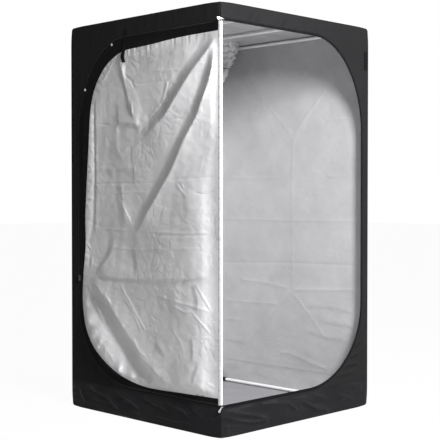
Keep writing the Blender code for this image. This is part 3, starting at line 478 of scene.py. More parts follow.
class Finish(Enum):
    """Every finish on the tent, with its recipe."""

    OXFORD = WovenCloth()
    BASE = CoatedCloth()
    SILVER = SilverFilm()
    DOOR_SILVER = SilverFilm("creased_silver_film", "#cbcbcc", "#a0a0a2", crackle=0.60, wrinkle=0.60)
    # Painted light: the sleeve's film is a brighter copy of the wall film, lifted against the shade it hangs in under
    # the roof; its wide light-to-dark cloud stands for painted highlights and painted shade.
    SLEEVE_PAINTED_LIGHT_FILM = SilverFilm("painted_light_crinkled_silver", "#f0f0f1", "#9c9ca0", 0.25, 0.32, 0.8, 0.9)
    FLOOR_SILVER = SilverFilm("floor_silver_film", "#a2a2a5", "#909094", 0.10, 0.55, 0.2, 0.15)
    TAPE = Webbing()
    # The hinge binding is a real tape, but its grey tone is painted shade for the silver edge in shade beside the
    # hinge post.
    PAINTED_SHADE_BINDING = Webbing("painted_shade_grey_binding", "#a2a2a5", "#b6b6b9", roughness=0.72, gloss=0.3)
    THREAD = Webbing("black_sewing_thread", "#101011", "#1d1d1f", 0.0006, 0.7, 0.3)
    GREY_THREAD = Webbing("grey_sewing_thread", "#8a8a8d", "#9a9a9d", 0.0006, 0.7)
    NET = Webbing("black_net_yarn", "#0f0f10", "#1a1a1b", 0.0006, 0.75)
    COIL = HardFinish("black_nylon_coil", "#0d0d0e", "#19191a", 0.42, gloss=0.4)
    PLASTIC = HardFinish("black_moulded_nylon", "#131315", "#1c1c1e", 0.46, gloss=0.45)
    STEEL = HardFinish("white_powder_coated_steel", "#f0f0f1", "#e2e2e4", 0.34, grain=420.0)
    NICKEL = HardFinish("nickel_plated_zinc", "#d9d9db", "#bdbdc0", 0.24, 1.0, grain=1500.0, grain_depth=0.00004)
    CORD = Webbing("black_braided_cord", "#0c0c0d", "#1b1b1d", 0.0011, 0.8)

    @functools.cache
    def made(self) -> bpy.types.Material:
        """The material, made at its first use."""
        return self.value.make()


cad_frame: dict = {}


def dress(node: str, finish: Finish) -> None:
    """Puts a finish on every material slot of a CAD node."""
    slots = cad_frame["nodes"][node].material_slots
    for place in slots:
        place.material = finish.made()
    if not slots:
        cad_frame["nodes"][node].data.materials.append(finish.made())


def settle(piece: Piece, body: str, node: str | None = None) -> Piece:
    """Says which body a piece moves with and the CAD node that it stands for, if any."""
    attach(piece, body)
    if node:
        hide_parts(node)
    return piece


# Meshes


def new_piece(name: str, points: Array, faces: Sequence, finishes: Sequence[Finish],
              indices: Sequence[int] | None = None, uvs: Array | None = None, sharp: float = 40.0) -> Piece:
    """Makes a piece from points and faces, at the origin.

    Args:
        name: the piece's name.
        points: its corner points, n by 3.
        faces: tuples of point numbers, all pointing outwards.
        finishes: its finishes.
        indices: which finish each face takes.
        uvs: a measure in metres for each point, n by 2.
        sharp: the least angle in degrees between faces that shows as an edge.

    Returns:
        The new object.
    """
    mesh = bpy.data.meshes.new(name)
    mesh.from_pydata([tuple(p) for p in points], [], [tuple(int(i) for i in f) for f in faces])
    for finish in finishes:
        mesh.materials.append(finish.made())
    if indices is not None:
        mesh.polygons.foreach_set("material_index", np.asarray(indices, np.int32))
    if uvs is not None:
        layer = mesh.uv_layers.new(name="cloth")
        corner = np.zeros(len(mesh.loops), np.int32)
        mesh.loops.foreach_get("vertex_index", corner)
        layer.data.foreach_set("uv", np.asarray(uvs, np.float32)[corner].ravel())
    mesh.shade_smooth()
    mesh.set_sharp_from_angle(angle=math.radians(sharp))
    mesh.validate()
    mesh.update()
    piece = bpy.data.objects.new(name, mesh)
    bpy.context.scene.collection.objects.link(piece)
    return piece


def soften(points: Array) -> Array:
    """Rounds places on the cover's box a little at its edges and more at its corners, as cloth over a frame is."""
    centre = np.array([0.0, 0.0, HEIGHT / 2])
    half = np.array([HALF_WIDTH, HALF_WIDTH, HEIGHT / 2])
    local = points - centre
    corner_gap = np.linalg.norm(np.abs(local) - half, axis=1)
    radius = 0.0045 + 0.0085 * np.exp(-((corner_gap / 0.045) ** 2))
    hinge_gap = np.hypot(points[:, 0] + HALF_WIDTH, points[:, 1] + HALF_WIDTH)
    mouth = smooth(hinge_gap, 0.06, 0.03) * smooth(points[:, 2], 0.11, 0.14) * smooth(points[:, 2], 1.76, 1.72)
    radius = radius * (1 - mouth) + 0.0012 * mouth
    inner = half[None, :] - radius[:, None]
    kept = np.clip(local, -inner, inner)
    over = local - kept
    most = np.abs(over).max(axis=1)
    size = np.linalg.norm(over, axis=1)
    scale = np.where(size > 1e-9, most / np.maximum(size, 1e-9), 1.0)
    return centre + kept + over * scale[:, None]


def inside(points: Array, loop: Array) -> Array:
    """Which of n flat places lie within a closed loop, as n true or false values."""
    a, b = points[:, 0], points[:, 1]
    found = np.zeros(len(points), bool)
    for (a0, b0), (a1, b1) in zip(loop, np.roll(loop, -1, axis=0)):
        crossed = np.nonzero((b0 <= b) != (b1 <= b))[0]
        at = a0 + (b[crossed] - b0) * (a1 - a0) / ((b1 - b0) or 1.0)
        found[crossed[at > a[crossed]]] ^= True
    return found


def edge_gap(points: Array, loops: Sequence[Array], reach: float) -> Array:
    """How far n flat places lie from the nearest of some closed loops, up to a reach in metres."""
    best = np.full(len(points), reach)
    for loop in loops:
        for start, end in zip(loop, np.roll(loop, -1, axis=0)):
            low, high = np.minimum(start, end) - reach, np.maximum(start, end) + reach
            near = np.nonzero(((points > low) & (points < high)).all(axis=1))[0]
            gap = np.abs(run_measures(points[near, 0], points[near, 1], (start, end))[0])
            best[near] = np.minimum(best[near], gap)
    return best


def resampled(loop: Sequence[Vec2], spacing: float, closed: bool = True) -> Array:
    """Places along a run at about even steps, no longer than a spacing, with its own corners kept."""
    ends = list(loop[1:]) + ([loop[0]] if closed else [])
    made: list[Vec2] = []
    for start, end in zip(loop, ends):
        steps = max(1, math.ceil(math.dist(start, end) / spacing - 1e-6))
        made += [(start[0] + (end[0] - start[0]) * k / steps, start[1] + (end[1] - start[1]) * k / steps)
                 for k in range(steps)]
    if not closed:
        made.append(tuple(loop[-1]))
    return np.array(made)


@dataclass
class SheetCut:
    """A flat cut of cloth: its outline, holes and pressed lines, filled with small triangles."""

    outline: Sequence[Vec2]
    spacing: float
    holes: Sequence[Sequence[Vec2]] = ()
    lines: Sequence[Sequence[Vec2]] = ()
    line_half: float = 0.004
    hems: tuple[float, ...] = (0.002, 0.005)

    def offered(self, loops: Sequence[Array]) -> tuple[Array, int]:
        """Places that the filling may use, and how many of them follow edges or lines."""
        found = []
        for loop in loops:
            along = np.roll(loop, -1, axis=0) - np.roll(loop, 1, axis=0)
            across = unit(np.stack([-along[:, 1], along[:, 0]], axis=1))
            found += [loop + across * side for hem in self.hems for side in (-hem, hem)]
        for run in self.lines:
            path = resampled(run, self.line_half * 1.4, closed=False)
            along = np.gradient(path, axis=0)
            across = unit(np.stack([-along[:, 1], along[:, 0]], axis=1))
            found += [path, path + across * self.line_half, path - across * self.line_half]
        on_lines = sum(len(o) for o in found)
        low, high = loops[0].min(axis=0), loops[0].max(axis=0)
        for number, row in enumerate(np.arange(low[1] + self.spacing / 2, high[1], self.spacing * 0.87)):
            across = np.arange(low[0] + self.spacing * (0.25 + 0.5 * (number % 2)), high[0], self.spacing)
            found.append(np.stack([across, np.full_like(across, row)], axis=1))
        return np.vstack(found), on_lines

    def thinned(self, extra: Array, first_grid: int) -> Array:
        """Leaves out places that crowd an earlier one, or that crowd a line."""
        tree = kdtree.KDTree(len(extra))
        for number, point in enumerate(extra):
            tree.insert((point[0], point[1], 0.0), number)
        tree.balance()
        dropped = np.zeros(len(extra), bool)
        for number, point in enumerate(extra):
            if dropped[number]:
                continue
            reach = self.line_half * 0.85 if number < first_grid else self.spacing * 0.55
            for _, other, _ in tree.find_range((point[0], point[1], 0.0), reach):
                if other > number:
                    dropped[other] = True
                elif other < number and not dropped[other] and number >= first_grid:
                    dropped[number] = True
                    break
        return extra[~dropped]

    def filled(self) -> tuple[Array, Array]:
        """Fills the cut.

        Returns:
            Its points, n by 2, and its triangles, m by 3.
        """
        loops = [resampled(loop, self.spacing) for loop in (self.outline, *self.holes)]
        edges, start = [], 0
        for loop in loops:
            edges += [(start + k, start + (k + 1) % len(loop)) for k in range(len(loop))]
            start += len(loop)
        extra, on_lines = self.offered(loops)
        ok = self.within(extra, loops) & (edge_gap(extra, loops, self.spacing) > min(self.hems) * 0.8)
        points = np.vstack([*loops, self.thinned(extra[ok], int(ok[:on_lines].sum()))])
        found = delaunay_2d_cdt([Vector(p) for p in points], edges, [], 0, 1e-7, False)
        points = np.array([tuple(p) for p in found[0]])
        triangles = np.array([f for f in found[2] if len(f) == 3])
        return points, triangles[self.within(points[triangles].mean(axis=1), loops)]

    def within(self, points: Array, loops: Sequence[Array]) -> Array:
        """Which places are on the cloth: inside the outline and outside every hole."""
        found = inside(points, loops[0])
        for hole in loops[1:]:
            found &= ~inside(points, hole)
        return found


def make_sheet(name: str, cut: SheetCut, place: Place, depth: Depth, thickness: float, front: Finish = Finish.OXFORD,
               back: Finish = Finish.SILVER, finish_points: Callable | None = None, sharp: float = 40.0) -> Piece:
    """Makes a thin closed sheet from a cut of cloth.

    Args:
        name: the piece's name.
        cut: the cut.
        place: turns places across, along and out of the cloth into the tent's space.
        depth: how far the front stands out at each place, in metres.
        thickness: the cloth's thickness, in metres.
        front: the finish of the side that faces out.
        back: the finish of the other side.
        finish_points: a last change to all points, if any.
        sharp: the least angle in degrees that shows as an edge.

    Returns:
        The piece.
    """
    flat, triangles = cut.filled()
    a, b = flat[:, 0], flat[:, 1]
    out = depth(a, b)
    outer, inner = place(a, b, out), place(a, b, out - thickness)
    first = triangles[0]
    normal = np.cross(outer[first[1]] - outer[first[0]], outer[first[2]] - outer[first[0]])
    if normal @ (outer[first[0]] - inner[first[0]]) < 0:
        triangles = triangles[:, ::-1]
    count = len(flat)
    sides = dict.fromkeys(edge for i, j, k in triangles for edge in ((i, j), (j, k), (k, i)))
    rim = [(i, j) for (i, j) in sides if (j, i) not in sides]
    faces = [tuple(t) for t in triangles] + [tuple(count + i for i in t[::-1]) for t in triangles]
    faces += [(j, i, count + i, count + j) for i, j in rim]
    indices = [0] * len(triangles) + [1] * len(triangles) + [0] * len(rim)
    points = np.vstack([outer, inner])
    if finish_points is not None:
        points = finish_points(points)
    return new_piece(name, points, faces, [front, back], indices, np.vstack([flat, flat]), sharp)


def sweep(name: str, path: Array, across: Array, out: Array, profile: Sequence[Vec2],
          finish: Finish = Finish.TAPE) -> Piece:
    """Sweeps a closed profile along a path.

    Args:
        name: the piece's name.
        path: the path's places, n by 3.
        across: the profile's first direction at each place, n by 3.
        out: its second direction at each place, n by 3.
        profile: its points as (across, out), in metres.
        finish: the piece's finish.

    Returns:
        The piece.
    """
    count, stations = len(profile), len(path)
    points = np.array([p + a * x + o * y for p, a, o in zip(path, across, out) for x, y in profile])
    around = lengths_along(np.array(profile))
    uvs = np.array([(s, r) for s in lengths_along(path) for r in around])
    faces = []
    for k in range(stations - 1):
        here, there = k * count, (k + 1) * count
        faces += [(here + i, here + (i + 1) % count, there + (i + 1) % count, there + i) for i in range(count)]
    last = (stations - 1) * count
    faces += [tuple(range(count - 1, -1, -1)), tuple(range(last, last + count))]
    ring = points[:count]
    area = np.cross(ring - ring.mean(axis=0), np.roll(ring, -1, axis=0) - ring.mean(axis=0)).sum(axis=0)
    if area @ (path[1] - path[0]) < 0:
        faces = [f[::-1] for f in faces]
    return new_piece(name, points, faces, [finish], None, uvs)


def straight_band(name: str, path: Array, across: Vec3, out: Vec3, profile: Sequence[Vec2],
                  finish: Finish = Finish.TAPE) -> Piece:
    """Sweeps a profile along a path with the same two directions all the way."""
    return sweep(name, path, np.tile(across, (len(path), 1)), np.tile(out, (len(path), 1)), profile, finish)


def round_profile(radius: float, sides: int) -> list[Vec2]:
    """A round profile of a radius in metres."""
    return [(radius * math.cos(2 * math.pi * k / sides), radius * math.sin(2 * math.pi * k / sides))
            for k in range(sides)]


def flat_profile(low: float, high: float, near: float, far: float) -> list[Vec2]:
    """A flat band's profile with eased edges, from low to high across and near to far outwards."""
    ease = min(0.0004, (far - near) * 0.3)
    return [(low, near), (high, near), (high, far - ease), (high - ease, far), (low + ease, far), (low, far - ease)]


def turned(profile: Sequence[Vec2], axis: str, at: Vec3, sides: int = 28, flip: bool = False) -> tuple[Array, Faces]:
    """Turns a closed profile about X, Y or Z through a point.

    Args:
        profile: points (radius, along) in order round the section.
        axis: the axis it turns about.
        at: a point on the axis.
        sides: how many flat sides the round has.
        flip: whether it points the other way along the axis.

    Returns:
        Points and faces, pointing outwards.
    """
    way = -1.0 if flip else 1.0
    made = []
    for k in range(sides):
        angle = 2 * math.pi * k / sides
        c, s = math.cos(angle), math.sin(angle)
        for radius, along in profile:
            local = {"X": (way * along, radius * c, radius * s), "Y": (radius * s, way * along, radius * c),
                     "Z": (radius * c, radius * s, way * along)}[axis]
            made.append(tuple(p + q for p, q in zip(local, at)))
    count = len(profile)
    faces = []
    for k in range(sides):
        here, there = k * count, (k + 1) % sides * count
        faces += [(here + i, there + i, there + (i + 1) % count, here + (i + 1) % count) for i in range(count)]
    area = sum(p[0] * q[1] - q[0] * p[1] for p, q in zip(profile, [*profile[1:], profile[0]]))
    if (area > 0) != flip:
        faces = [f[::-1] for f in faces]
    return np.array(made), faces


def joined(parts: Sequence[tuple[Array, Faces]]) -> tuple[Array, Faces]:
    """Puts several point and face lists into one."""
    points, faces, start = [], [], 0
    for more, shapes in parts:
        points.append(more)
        faces += [tuple(start + i for i in f) for f in shapes]
        start += len(more)
    return np.vstack(points), faces


# What repeats, made by node trees


class NodePiece:
    """An object with a live node tree, turned into a plain mesh piece at the end."""

    def __init__(self, name: str, mesh: bpy.types.Mesh, sockets: dict[str, str]) -> None:
        """Starts the tree on a mesh, with input sockets by label and kind."""
        self.carrier = bpy.data.objects.new(name, mesh)
        bpy.context.scene.collection.objects.link(self.carrier)
        self.tree = bpy.data.node_groups.new(name, "GeometryNodeTree")
        face = self.tree.interface
        for label, kind in (("Geometry", "Geometry"), *sockets.items()):
            face.new_socket(label, in_out="INPUT", socket_type=f"NodeSocket{kind}")
        face.new_socket("Geometry", in_out="OUTPUT", socket_type="NodeSocketGeometry")
        self.start = add_node(self.tree, "NodeGroupInput").outputs

    def add(self, kind: str, inputs: dict | None = None, settings: dict | None = None) -> Socket:
        """Adds a node and gives its first result."""
        return add_node(self.tree, kind, settings, inputs).outputs[0]

    def realised(self, shape: Socket, finish: Finish, values: dict[str, float]) -> Piece:
        """Sets the finish and the inputs' values, and gives a plain mesh piece.

        Args:
            shape: the tree's result.
            finish: the piece's finish.
            values: each input's value by label.

        Returns:
            The piece.
        """
        real = self.add("GeometryNodeRealizeInstances", {0: shape})
        end = self.add("GeometryNodeSetMaterial", {"Geometry": real, "Material": finish.made()})
        add_node(self.tree, "NodeGroupOutput", None, {0: end})
        modifier = self.carrier.modifiers.new("repeat", "NODES")
        modifier.node_group = self.tree
        for item in self.tree.interface.items_tree:
            if item.item_type == "SOCKET" and item.in_out == "INPUT" and item.name in values:
                modifier[item.identifier] = values[item.name]
        name = self.carrier.name
        mesh = bpy.data.meshes.new_from_object(self.carrier.evaluated_get(bpy.context.evaluated_depsgraph_get()))
        bpy.data.objects.remove(self.carrier, do_unlink=True)
        bpy.data.node_groups.remove(self.tree)
        mesh.name = name
        mesh.shade_smooth()
        piece = bpy.data.objects.new(name, mesh)
        bpy.context.scene.collection.objects.link(piece)
        return piece


class Bit(Enum):
    """The small shape that is repeated."""

    BEAD = "GeometryNodeMeshIcoSphere"
    BLOCK = "GeometryNodeMeshCube"


@dataclass(frozen=True)
class RepeatedBits:
    """Stitches, zip teeth or bar-tacks: one small shape set at each of many points, turned along its seam."""

    shape: Bit
    length: float
    width: float
    height: float
    step: float = 0.0

    def along(self, name: str, places: Array, along: Array, facing: Vec3, finish: Finish) -> Piece:
        """Sets the shape at every place.

        Args:
            name: the piece's name.
            places: where each one goes, n by 3.
            along: the seam's direction there, n by 3.
            facing: the surface's direction.
            finish: its finish.

        Returns:
            A plain mesh piece.
        """
        mesh = bpy.data.meshes.new(name)
        mesh.from_pydata([tuple(p) for p in places], [], [])
        for label, values in (("along", along), ("facing", np.tile(facing, (len(places), 1)))):
            mesh.attributes.new(label, "FLOAT_VECTOR", "POINT").data.foreach_set(
                "vector", np.asarray(values, np.float32).ravel())
        sizes = {"Length": self.length, "Width": self.width, "Height": self.height}
        made = NodePiece(name, mesh, dict.fromkeys(sizes, "Float"))
        read = [made.add("GeometryNodeInputNamedAttribute", {"Name": label}, {"data_type": "FLOAT_VECTOR"})
                for label in ("along", "facing")]
        first = made.add("FunctionNodeAlignEulerToVector", {"Vector": read[0]}, {"axis": "X"})
        second = made.add("FunctionNodeAlignEulerToVector", {"Rotation": first, "Vector": read[1]},
                          {"axis": "Z", "pivot_axis": "X"})
        size = made.add("ShaderNodeCombineXYZ", {k: made.start[label] for k, label in enumerate(sizes)})
        bit = made.add(self.shape.value, {0: 0.5, 1: 1} if self.shape is Bit.BEAD else {0: (1.0, 1.0, 1.0)})
        placed = made.add("GeometryNodeInstanceOnPoints", {"Points": made.start["Geometry"], "Instance": bit,
                                                           "Rotation": second, "Scale": size})
        return made.realised(placed, finish, sizes)

    def sew(self, name: str, path: Array, facing: Vec3, finish: Finish = Finish.THREAD) -> Piece:
        """Sets the shape at even steps along a path on a flat face, given the face's direction."""
        return self.along(name, *evenly(path, self.step), facing, finish)


def evenly(path: Array, step: float) -> tuple[Array, Array]:
    """Places at even steps along a path, and the path's direction at each."""
    lengths = lengths_along(path)
    at = np.arange(step / 2, lengths[-1], step)
    places, ahead, behind = (np.stack([np.interp(at + shift, lengths, path[:, k]) for k in range(3)], axis=1)
                             for shift in (0.0, step / 4, -step / 4))
    along = ahead - behind
    return places, along / np.maximum(np.linalg.norm(along, axis=1), 1e-9)[:, None]


STITCH = RepeatedBits(Bit.BEAD, 0.0040, 0.0009, 0.0007, 0.0062)
TOOTH = RepeatedBits(Bit.BEAD, 0.0014, 0.0031, 0.0024, 0.0021)
BAR_TACK = RepeatedBits(Bit.BLOCK, 0.0026, 0.0070, 0.0007)


# The door opening's line, which the rim, the front panel and the door all follow


@dataclass(frozen=True)
class OpeningLine:
    """The D-shaped edge: along the head from the corner, down the free side and back along the foot."""

    start: float = -0.4977
    right: float = 0.445
    foot: float = 0.1383
    head: float = 1.722
    upper: Vec2 = (0.350, 0.420)
    lower: Vec2 = (0.380, 0.360)

    def stations(self, step: float = 0.012, offset: float = 0.0, start: float | None = None) -> Array:
        """Even stations along the line.

        Args:
            step: the step between them, in metres.
            offset: how far outwards from the line they lie.
            start: where along X the line starts and ends, if not at the corner.

        Returns:
            Rows of (x, z, normal x, normal z).
        """
        first = self.start if start is None else start
        low, high = self.foot + self.lower[1], self.head - self.upper[1]
        over, under = self.right - self.upper[0], self.right - self.lower[0]
        rows = [(x, self.head, 0.0, 1.0) for x in np.linspace(first, over, 60)[:-1]]
        rows += [self.on_curve(over, high, *self.upper, angle) for angle in np.linspace(math.pi / 2, 0, 90)]
        rows += [(self.right, z, 1.0, 0.0) for z in np.linspace(high, low, 60)[1:-1]]
        rows += [self.on_curve(under, low, *self.lower, angle) for angle in np.linspace(0, -math.pi / 2, 90)]
        rows += [(x, self.foot, 0.0, -1.0) for x in np.linspace(under, first, 60)[1:]]
        table = np.array(rows)
        table[:, :2] += table[:, 2:] * offset
        lengths = lengths_along(table[:, :2])
        at = np.linspace(0, lengths[-1], max(8, int(lengths[-1] / step)))
        even = np.stack([np.interp(at, lengths, table[:, k]) for k in range(4)], axis=1)
        even[:, 2:] = unit(even[:, 2:])
        return even

    @staticmethod
    def on_curve(x: float, z: float, width: float, height: float, angle: float) -> tuple[float, ...]:
        """A point on an upright ellipse with its outward normal."""
        across, up = math.cos(angle) / width, math.sin(angle) / height
        size = math.hypot(across, up)
        return (x + width * math.cos(angle), z + height * math.sin(angle), across / size, up / size)


LINE = OpeningLine()


def door_line(offset: float, step: float = 0.008) -> Array:
    """The door's curved edge, moved outwards by an offset: rows of (from the hinge, up, normal across, normal up)."""
    rows = LINE.stations(step, -0.0016 + offset, 0.0127 - HALF_WIDTH)
    rows[:, 0] += HALF_WIDTH + 0.0005
    return rows


def front_place(a: Array, b: Array, out: Array) -> Array:
    """Places on the front face: across to +X, up, and out to -Y."""
    return np.stack([a, -HALF_WIDTH - out, b], axis=1)


def door_place(a: Array, b: Array, out: Array) -> Array:
    """Places on the folded-back door: along from the hinge, up, and out to -X."""
    return np.stack([DOOR_PLANE - out, a - HALF_WIDTH, b], axis=1)


def box_low_high(node: str) -> tuple[Array, Array]:
    """A CAD node's lowest and highest corners at rest."""
    low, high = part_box(node)
    return np.array(low), np.array(high)


@dataclass
class Studio:
    """Floor, soft lights, pale surround and the camera."""

    eye: Vec3 = (-3.5545, -3.5205, 0.9974)
    turn: Vec3 = (math.radians(88.756), 0.0, math.radians(-45.286))
    lens: float = 85.75
    ambient: float = 0.025
    floor_glow: float = 0.97
    floor_half: float = 30.0

    def build(self) -> None:
        """Makes the floor, a key light that grazes the folded door, a weaker one, the world and the camera."""
        self.add_floor()
        self.add_area("key_light", (-1.15, -2.90, 2.35), (-0.35, -0.30, 0.85), (0.60, 1.00), 215.0)
        self.add_area("fill_light", (3.00, -3.20, 2.50), (0.0, -0.5, 0.9), (1.5, 1.2), 95.0)
        self.add_world()
        camera = bpy.data.objects.new("camera", bpy.data.cameras.new("camera"))
        camera.data.lens = self.lens
        camera.data.sensor_width = 36.0
        camera.data.clip_end = 60.0
        camera.location = self.eye
        camera.rotation_euler = Euler(self.turn)
        bpy.context.scene.collection.objects.link(camera)
        bpy.context.scene.camera = camera
        bpy.context.scene.view_settings.view_transform = "Standard"
        log.info("studio: floor, two soft lights, camera")

    def white_where_seen(self, tree: bpy.types.NodeTree) -> Socket:
        """A factor of 1 where the surround is looked at or mirrored, and 0 where it only gives light."""
        path = add_node(tree, "ShaderNodeLightPath").outputs
        glossy = add_node(tree, "ShaderNodeMath", {"operation": "MAXIMUM"},
                          {0: path["Is Camera Ray"], 1: path["Is Glossy Ray"]})
        both = add_node(tree, "ShaderNodeMath", {"operation": "MAXIMUM"},
                        {0: glossy.outputs[0], 1: path["Is Transmission Ray"]})
        return both.outputs[0]

    def add_floor(self) -> None:
        """A plain pale floor that keeps a soft shadow."""
        pale = Recipe("pale_floor")
        values = {"Base Color": linear("#f4f4f4"), "Roughness": 0.9, "Specular IOR Level": 0.0}
        for name, value in values.items():
            pale.shader.inputs[name].default_value = value
        share = pale.sum_of("MULTIPLY", self.white_where_seen(pale.tree), self.floor_glow)
        glow = add_node(pale.tree, "ShaderNodeEmission", None, {"Color": (1.0, 1.0, 1.0, 1.0), "Strength": 1.0})
        mix = add_node(pale.tree, "ShaderNodeMixShader", None,
                       {0: share, 1: pale.shader.outputs[0], 2: glow.outputs[0]})
        pale.tree.links.new(mix.outputs[0], pale.tree.nodes["Material Output"].inputs["Surface"])
        size = self.floor_half
        corners = np.array([(*p, 0.0) for p in box_of((-size, -size), (size, size))]) - (0, 0, 0.0004)
        floor = new_piece("studio_floor", corners, [(0, 1, 2, 3)], [])
        floor.data.materials.append(pale.material)

    def add_area(self, name: str, at: Vec3, aim: Vec3, size: Vec2, power: float) -> None:
        """Adds a soft light at a place, aimed at a point, with a size in metres and a power in watts."""
        lamp = bpy.data.lights.new(name, "AREA")
        lamp.shape = "RECTANGLE"
        lamp.size, lamp.size_y = size
        lamp.energy = power
        holder = bpy.data.objects.new(name, lamp)
        holder.location = at
        holder.rotation_euler = (Vector(at) - Vector(aim)).to_track_quat("Z", "Y").to_euler()
        bpy.context.scene.collection.objects.link(holder)

    def add_world(self) -> None:
        """An even surround: white where it is seen, weak as a light."""
        world = bpy.data.worlds.new("surround")
        world.use_nodes = True
        tree = world.node_tree
        sky = tree.nodes["Background"]
        strength = add_node(tree, "ShaderNodeMapRange", None,
                            {0: self.white_where_seen(tree), 1: 0.0, 2: 1.0, 3: self.ambient, 4: 1.0})
        sky.inputs["Color"].default_value = (1.0, 1.0, 1.0, 1.0)
        tree.links.new(strength.outputs[0], sky.inputs["Strength"])
        bpy.context.scene.world = world


@dataclass
class Frame:
    """White steel tubes in black corner connectors, and the two roof bars."""

    bore: float = TUBE_RADIUS - 0.0008
    wall: float = 0.0008
    post_joint: float = 0.900
    socket_stop: float = 0.020
    arm_length: float = 0.055
    arm_radius: float = 0.0102
    bar_x: tuple[float, float] = (-0.1665, 0.1665)
    bar_stop: float = 0.0145

    def tube(self, name: str, axis: str, start: Vec3, length: float, node: str, body: str = "tent") -> None:
        """Makes one tube of a length along an axis in place of a CAD node."""
        ease = 0.0003
        profile = [(self.bore, 0.0), (TUBE_RADIUS - ease, 0.0), (TUBE_RADIUS, ease), (TUBE_RADIUS, length - ease),
                   (TUBE_RADIUS - ease, length), (self.bore, length)]
        settle(new_piece(name, *turned(profile, axis, start), [Finish.STEEL]), body, node)

    def corners(self) -> list[tuple[str, float, float]]:
        """Each corner's name and place."""
        return [("front_left", -POST, -POST), ("front_right", POST, -POST), ("back_right", POST, POST),
                ("back_left", -POST, POST)]

    def posts(self) -> None:
        """The four posts, each in two sections with a rolled joint."""
        foot, head = RAIL_LOW + self.socket_stop, RAIL_HIGH - self.socket_stop
        joint, swage = self.post_joint - foot, self.bore - 0.0003
        profile = [(self.bore, 0.0), (TUBE_RADIUS, 0.0), (TUBE_RADIUS, joint - 0.0004), (TUBE_RADIUS - 0.0004, joint),
                   (swage, joint), (swage, joint + 0.058), (swage - 0.0006, joint + 0.060),
                   (swage - self.wall, joint + 0.060), (swage - self.wall, joint - 0.0008), (self.bore, joint - 0.003)]
        for corner, x, y in self.corners():
            self.tube(f"upper_tube_{corner}", "Z", (x, y, self.post_joint + 0.0003),
                      head - self.post_joint - 0.0003, f"post_upper_{corner}")
            lower = new_piece(f"lower_tube_{corner}", *turned(profile, "Z", (x, y, foot)), [Finish.STEEL])
            settle(lower, "tent", f"post_lower_{corner}")

    def rails(self) -> None:
        """The eight level rails."""
        start, length = self.socket_stop - POST, 2 * (POST - self.socket_stop)
        for level, z in (("bottom", RAIL_LOW), ("top", RAIL_HIGH)):
            for side, axis, at in (("front", "X", (start, -POST, z)), ("back", "X", (start, POST, z)),
                                   ("left", "Y", (-POST, start, z)), ("right", "Y", (POST, start, z))):
                self.tube(f"{level}_tube_{side}", axis, at, length, f"rail_{level}_{side}")

    def connectors(self) -> None:
        """The eight three-way corners: a rounded core with three ribbed sockets."""
        bore, lip, end, stop = TUBE_RADIUS + 0.0003, self.arm_radius, self.arm_length, self.socket_stop - 0.0003
        arm = [(0.0004, 0.0), (lip - 0.0004, 0.0), (lip - 0.0004, 0.014), (lip, 0.016), (lip, end - 0.011),
               (lip - 0.0006, end - 0.010), (lip - 0.0006, end - 0.0045), (lip, end - 0.0035), (lip, end - 0.0008),
               (lip - 0.0008, end), (bore, end), (bore, stop), (0.0004, stop)]
        angles = [math.pi * (k / 12 - 0.5) for k in range(13)]
        ball = [(max(0.00005, lip * math.cos(angle)), lip * math.sin(angle)) for angle in angles]
        for corner, x, y in self.corners():
            for level, z in (("bottom", RAIL_LOW), ("top", RAIL_HIGH)):
                parts = [turned(arm, axis, (x, y, z), 24, back)
                         for axis, back in (("X", x > 0), ("Y", y > 0), ("Z", level == "top"))]
                parts.append(turned(ball, "Z", (x, y, z), 24))
                piece = new_piece(f"corner_{level}_{corner}", *joined(parts), [Finish.PLASTIC])
                settle(piece, "tent", f"connector_{level}_{corner}")

    def roof_bars(self) -> None:
        """The two bars, which slide on their hooks."""
        length = 2 * (POST - self.bar_stop)
        for side, x in zip(("left", "right"), self.bar_x):
            self.tube(f"roof_tube_{side}", "Y", (x, self.bar_stop - POST, RAIL_HIGH), length, f"roof_bar_{side}",
                      f"{side}_roof_bar")
            for end in ("front", "back"):
                dress(f"roof_bar_{side}_hook_{end}", Finish.PLASTIC)

    def build(self) -> None:
        """Makes every tube and connector."""
        self.posts()
        self.rails()
        self.connectors()
        self.roof_bars()
        log.info("frame: posts, rails, connectors, roof bars")


def wall_place(side: str) -> Place:
    """How a wall's places across, up and out turn into the tent's space, its lower layer mitred at the edges."""
    def place(a: Array, b: Array, out: Array) -> Array:
        inset = np.clip(-out, 0.0, 0.0012)
        across = np.clip(a, inset - HALF_WIDTH, HALF_WIDTH - inset)
        level = HALF_WIDTH + out
        x, y = {"left": (-level, across), "right": (level, across), "front": (across, -level),
                "back": (across, level)}[side]
        return np.stack([x, y, np.minimum(b, HEIGHT - inset)], axis=1)
    return place


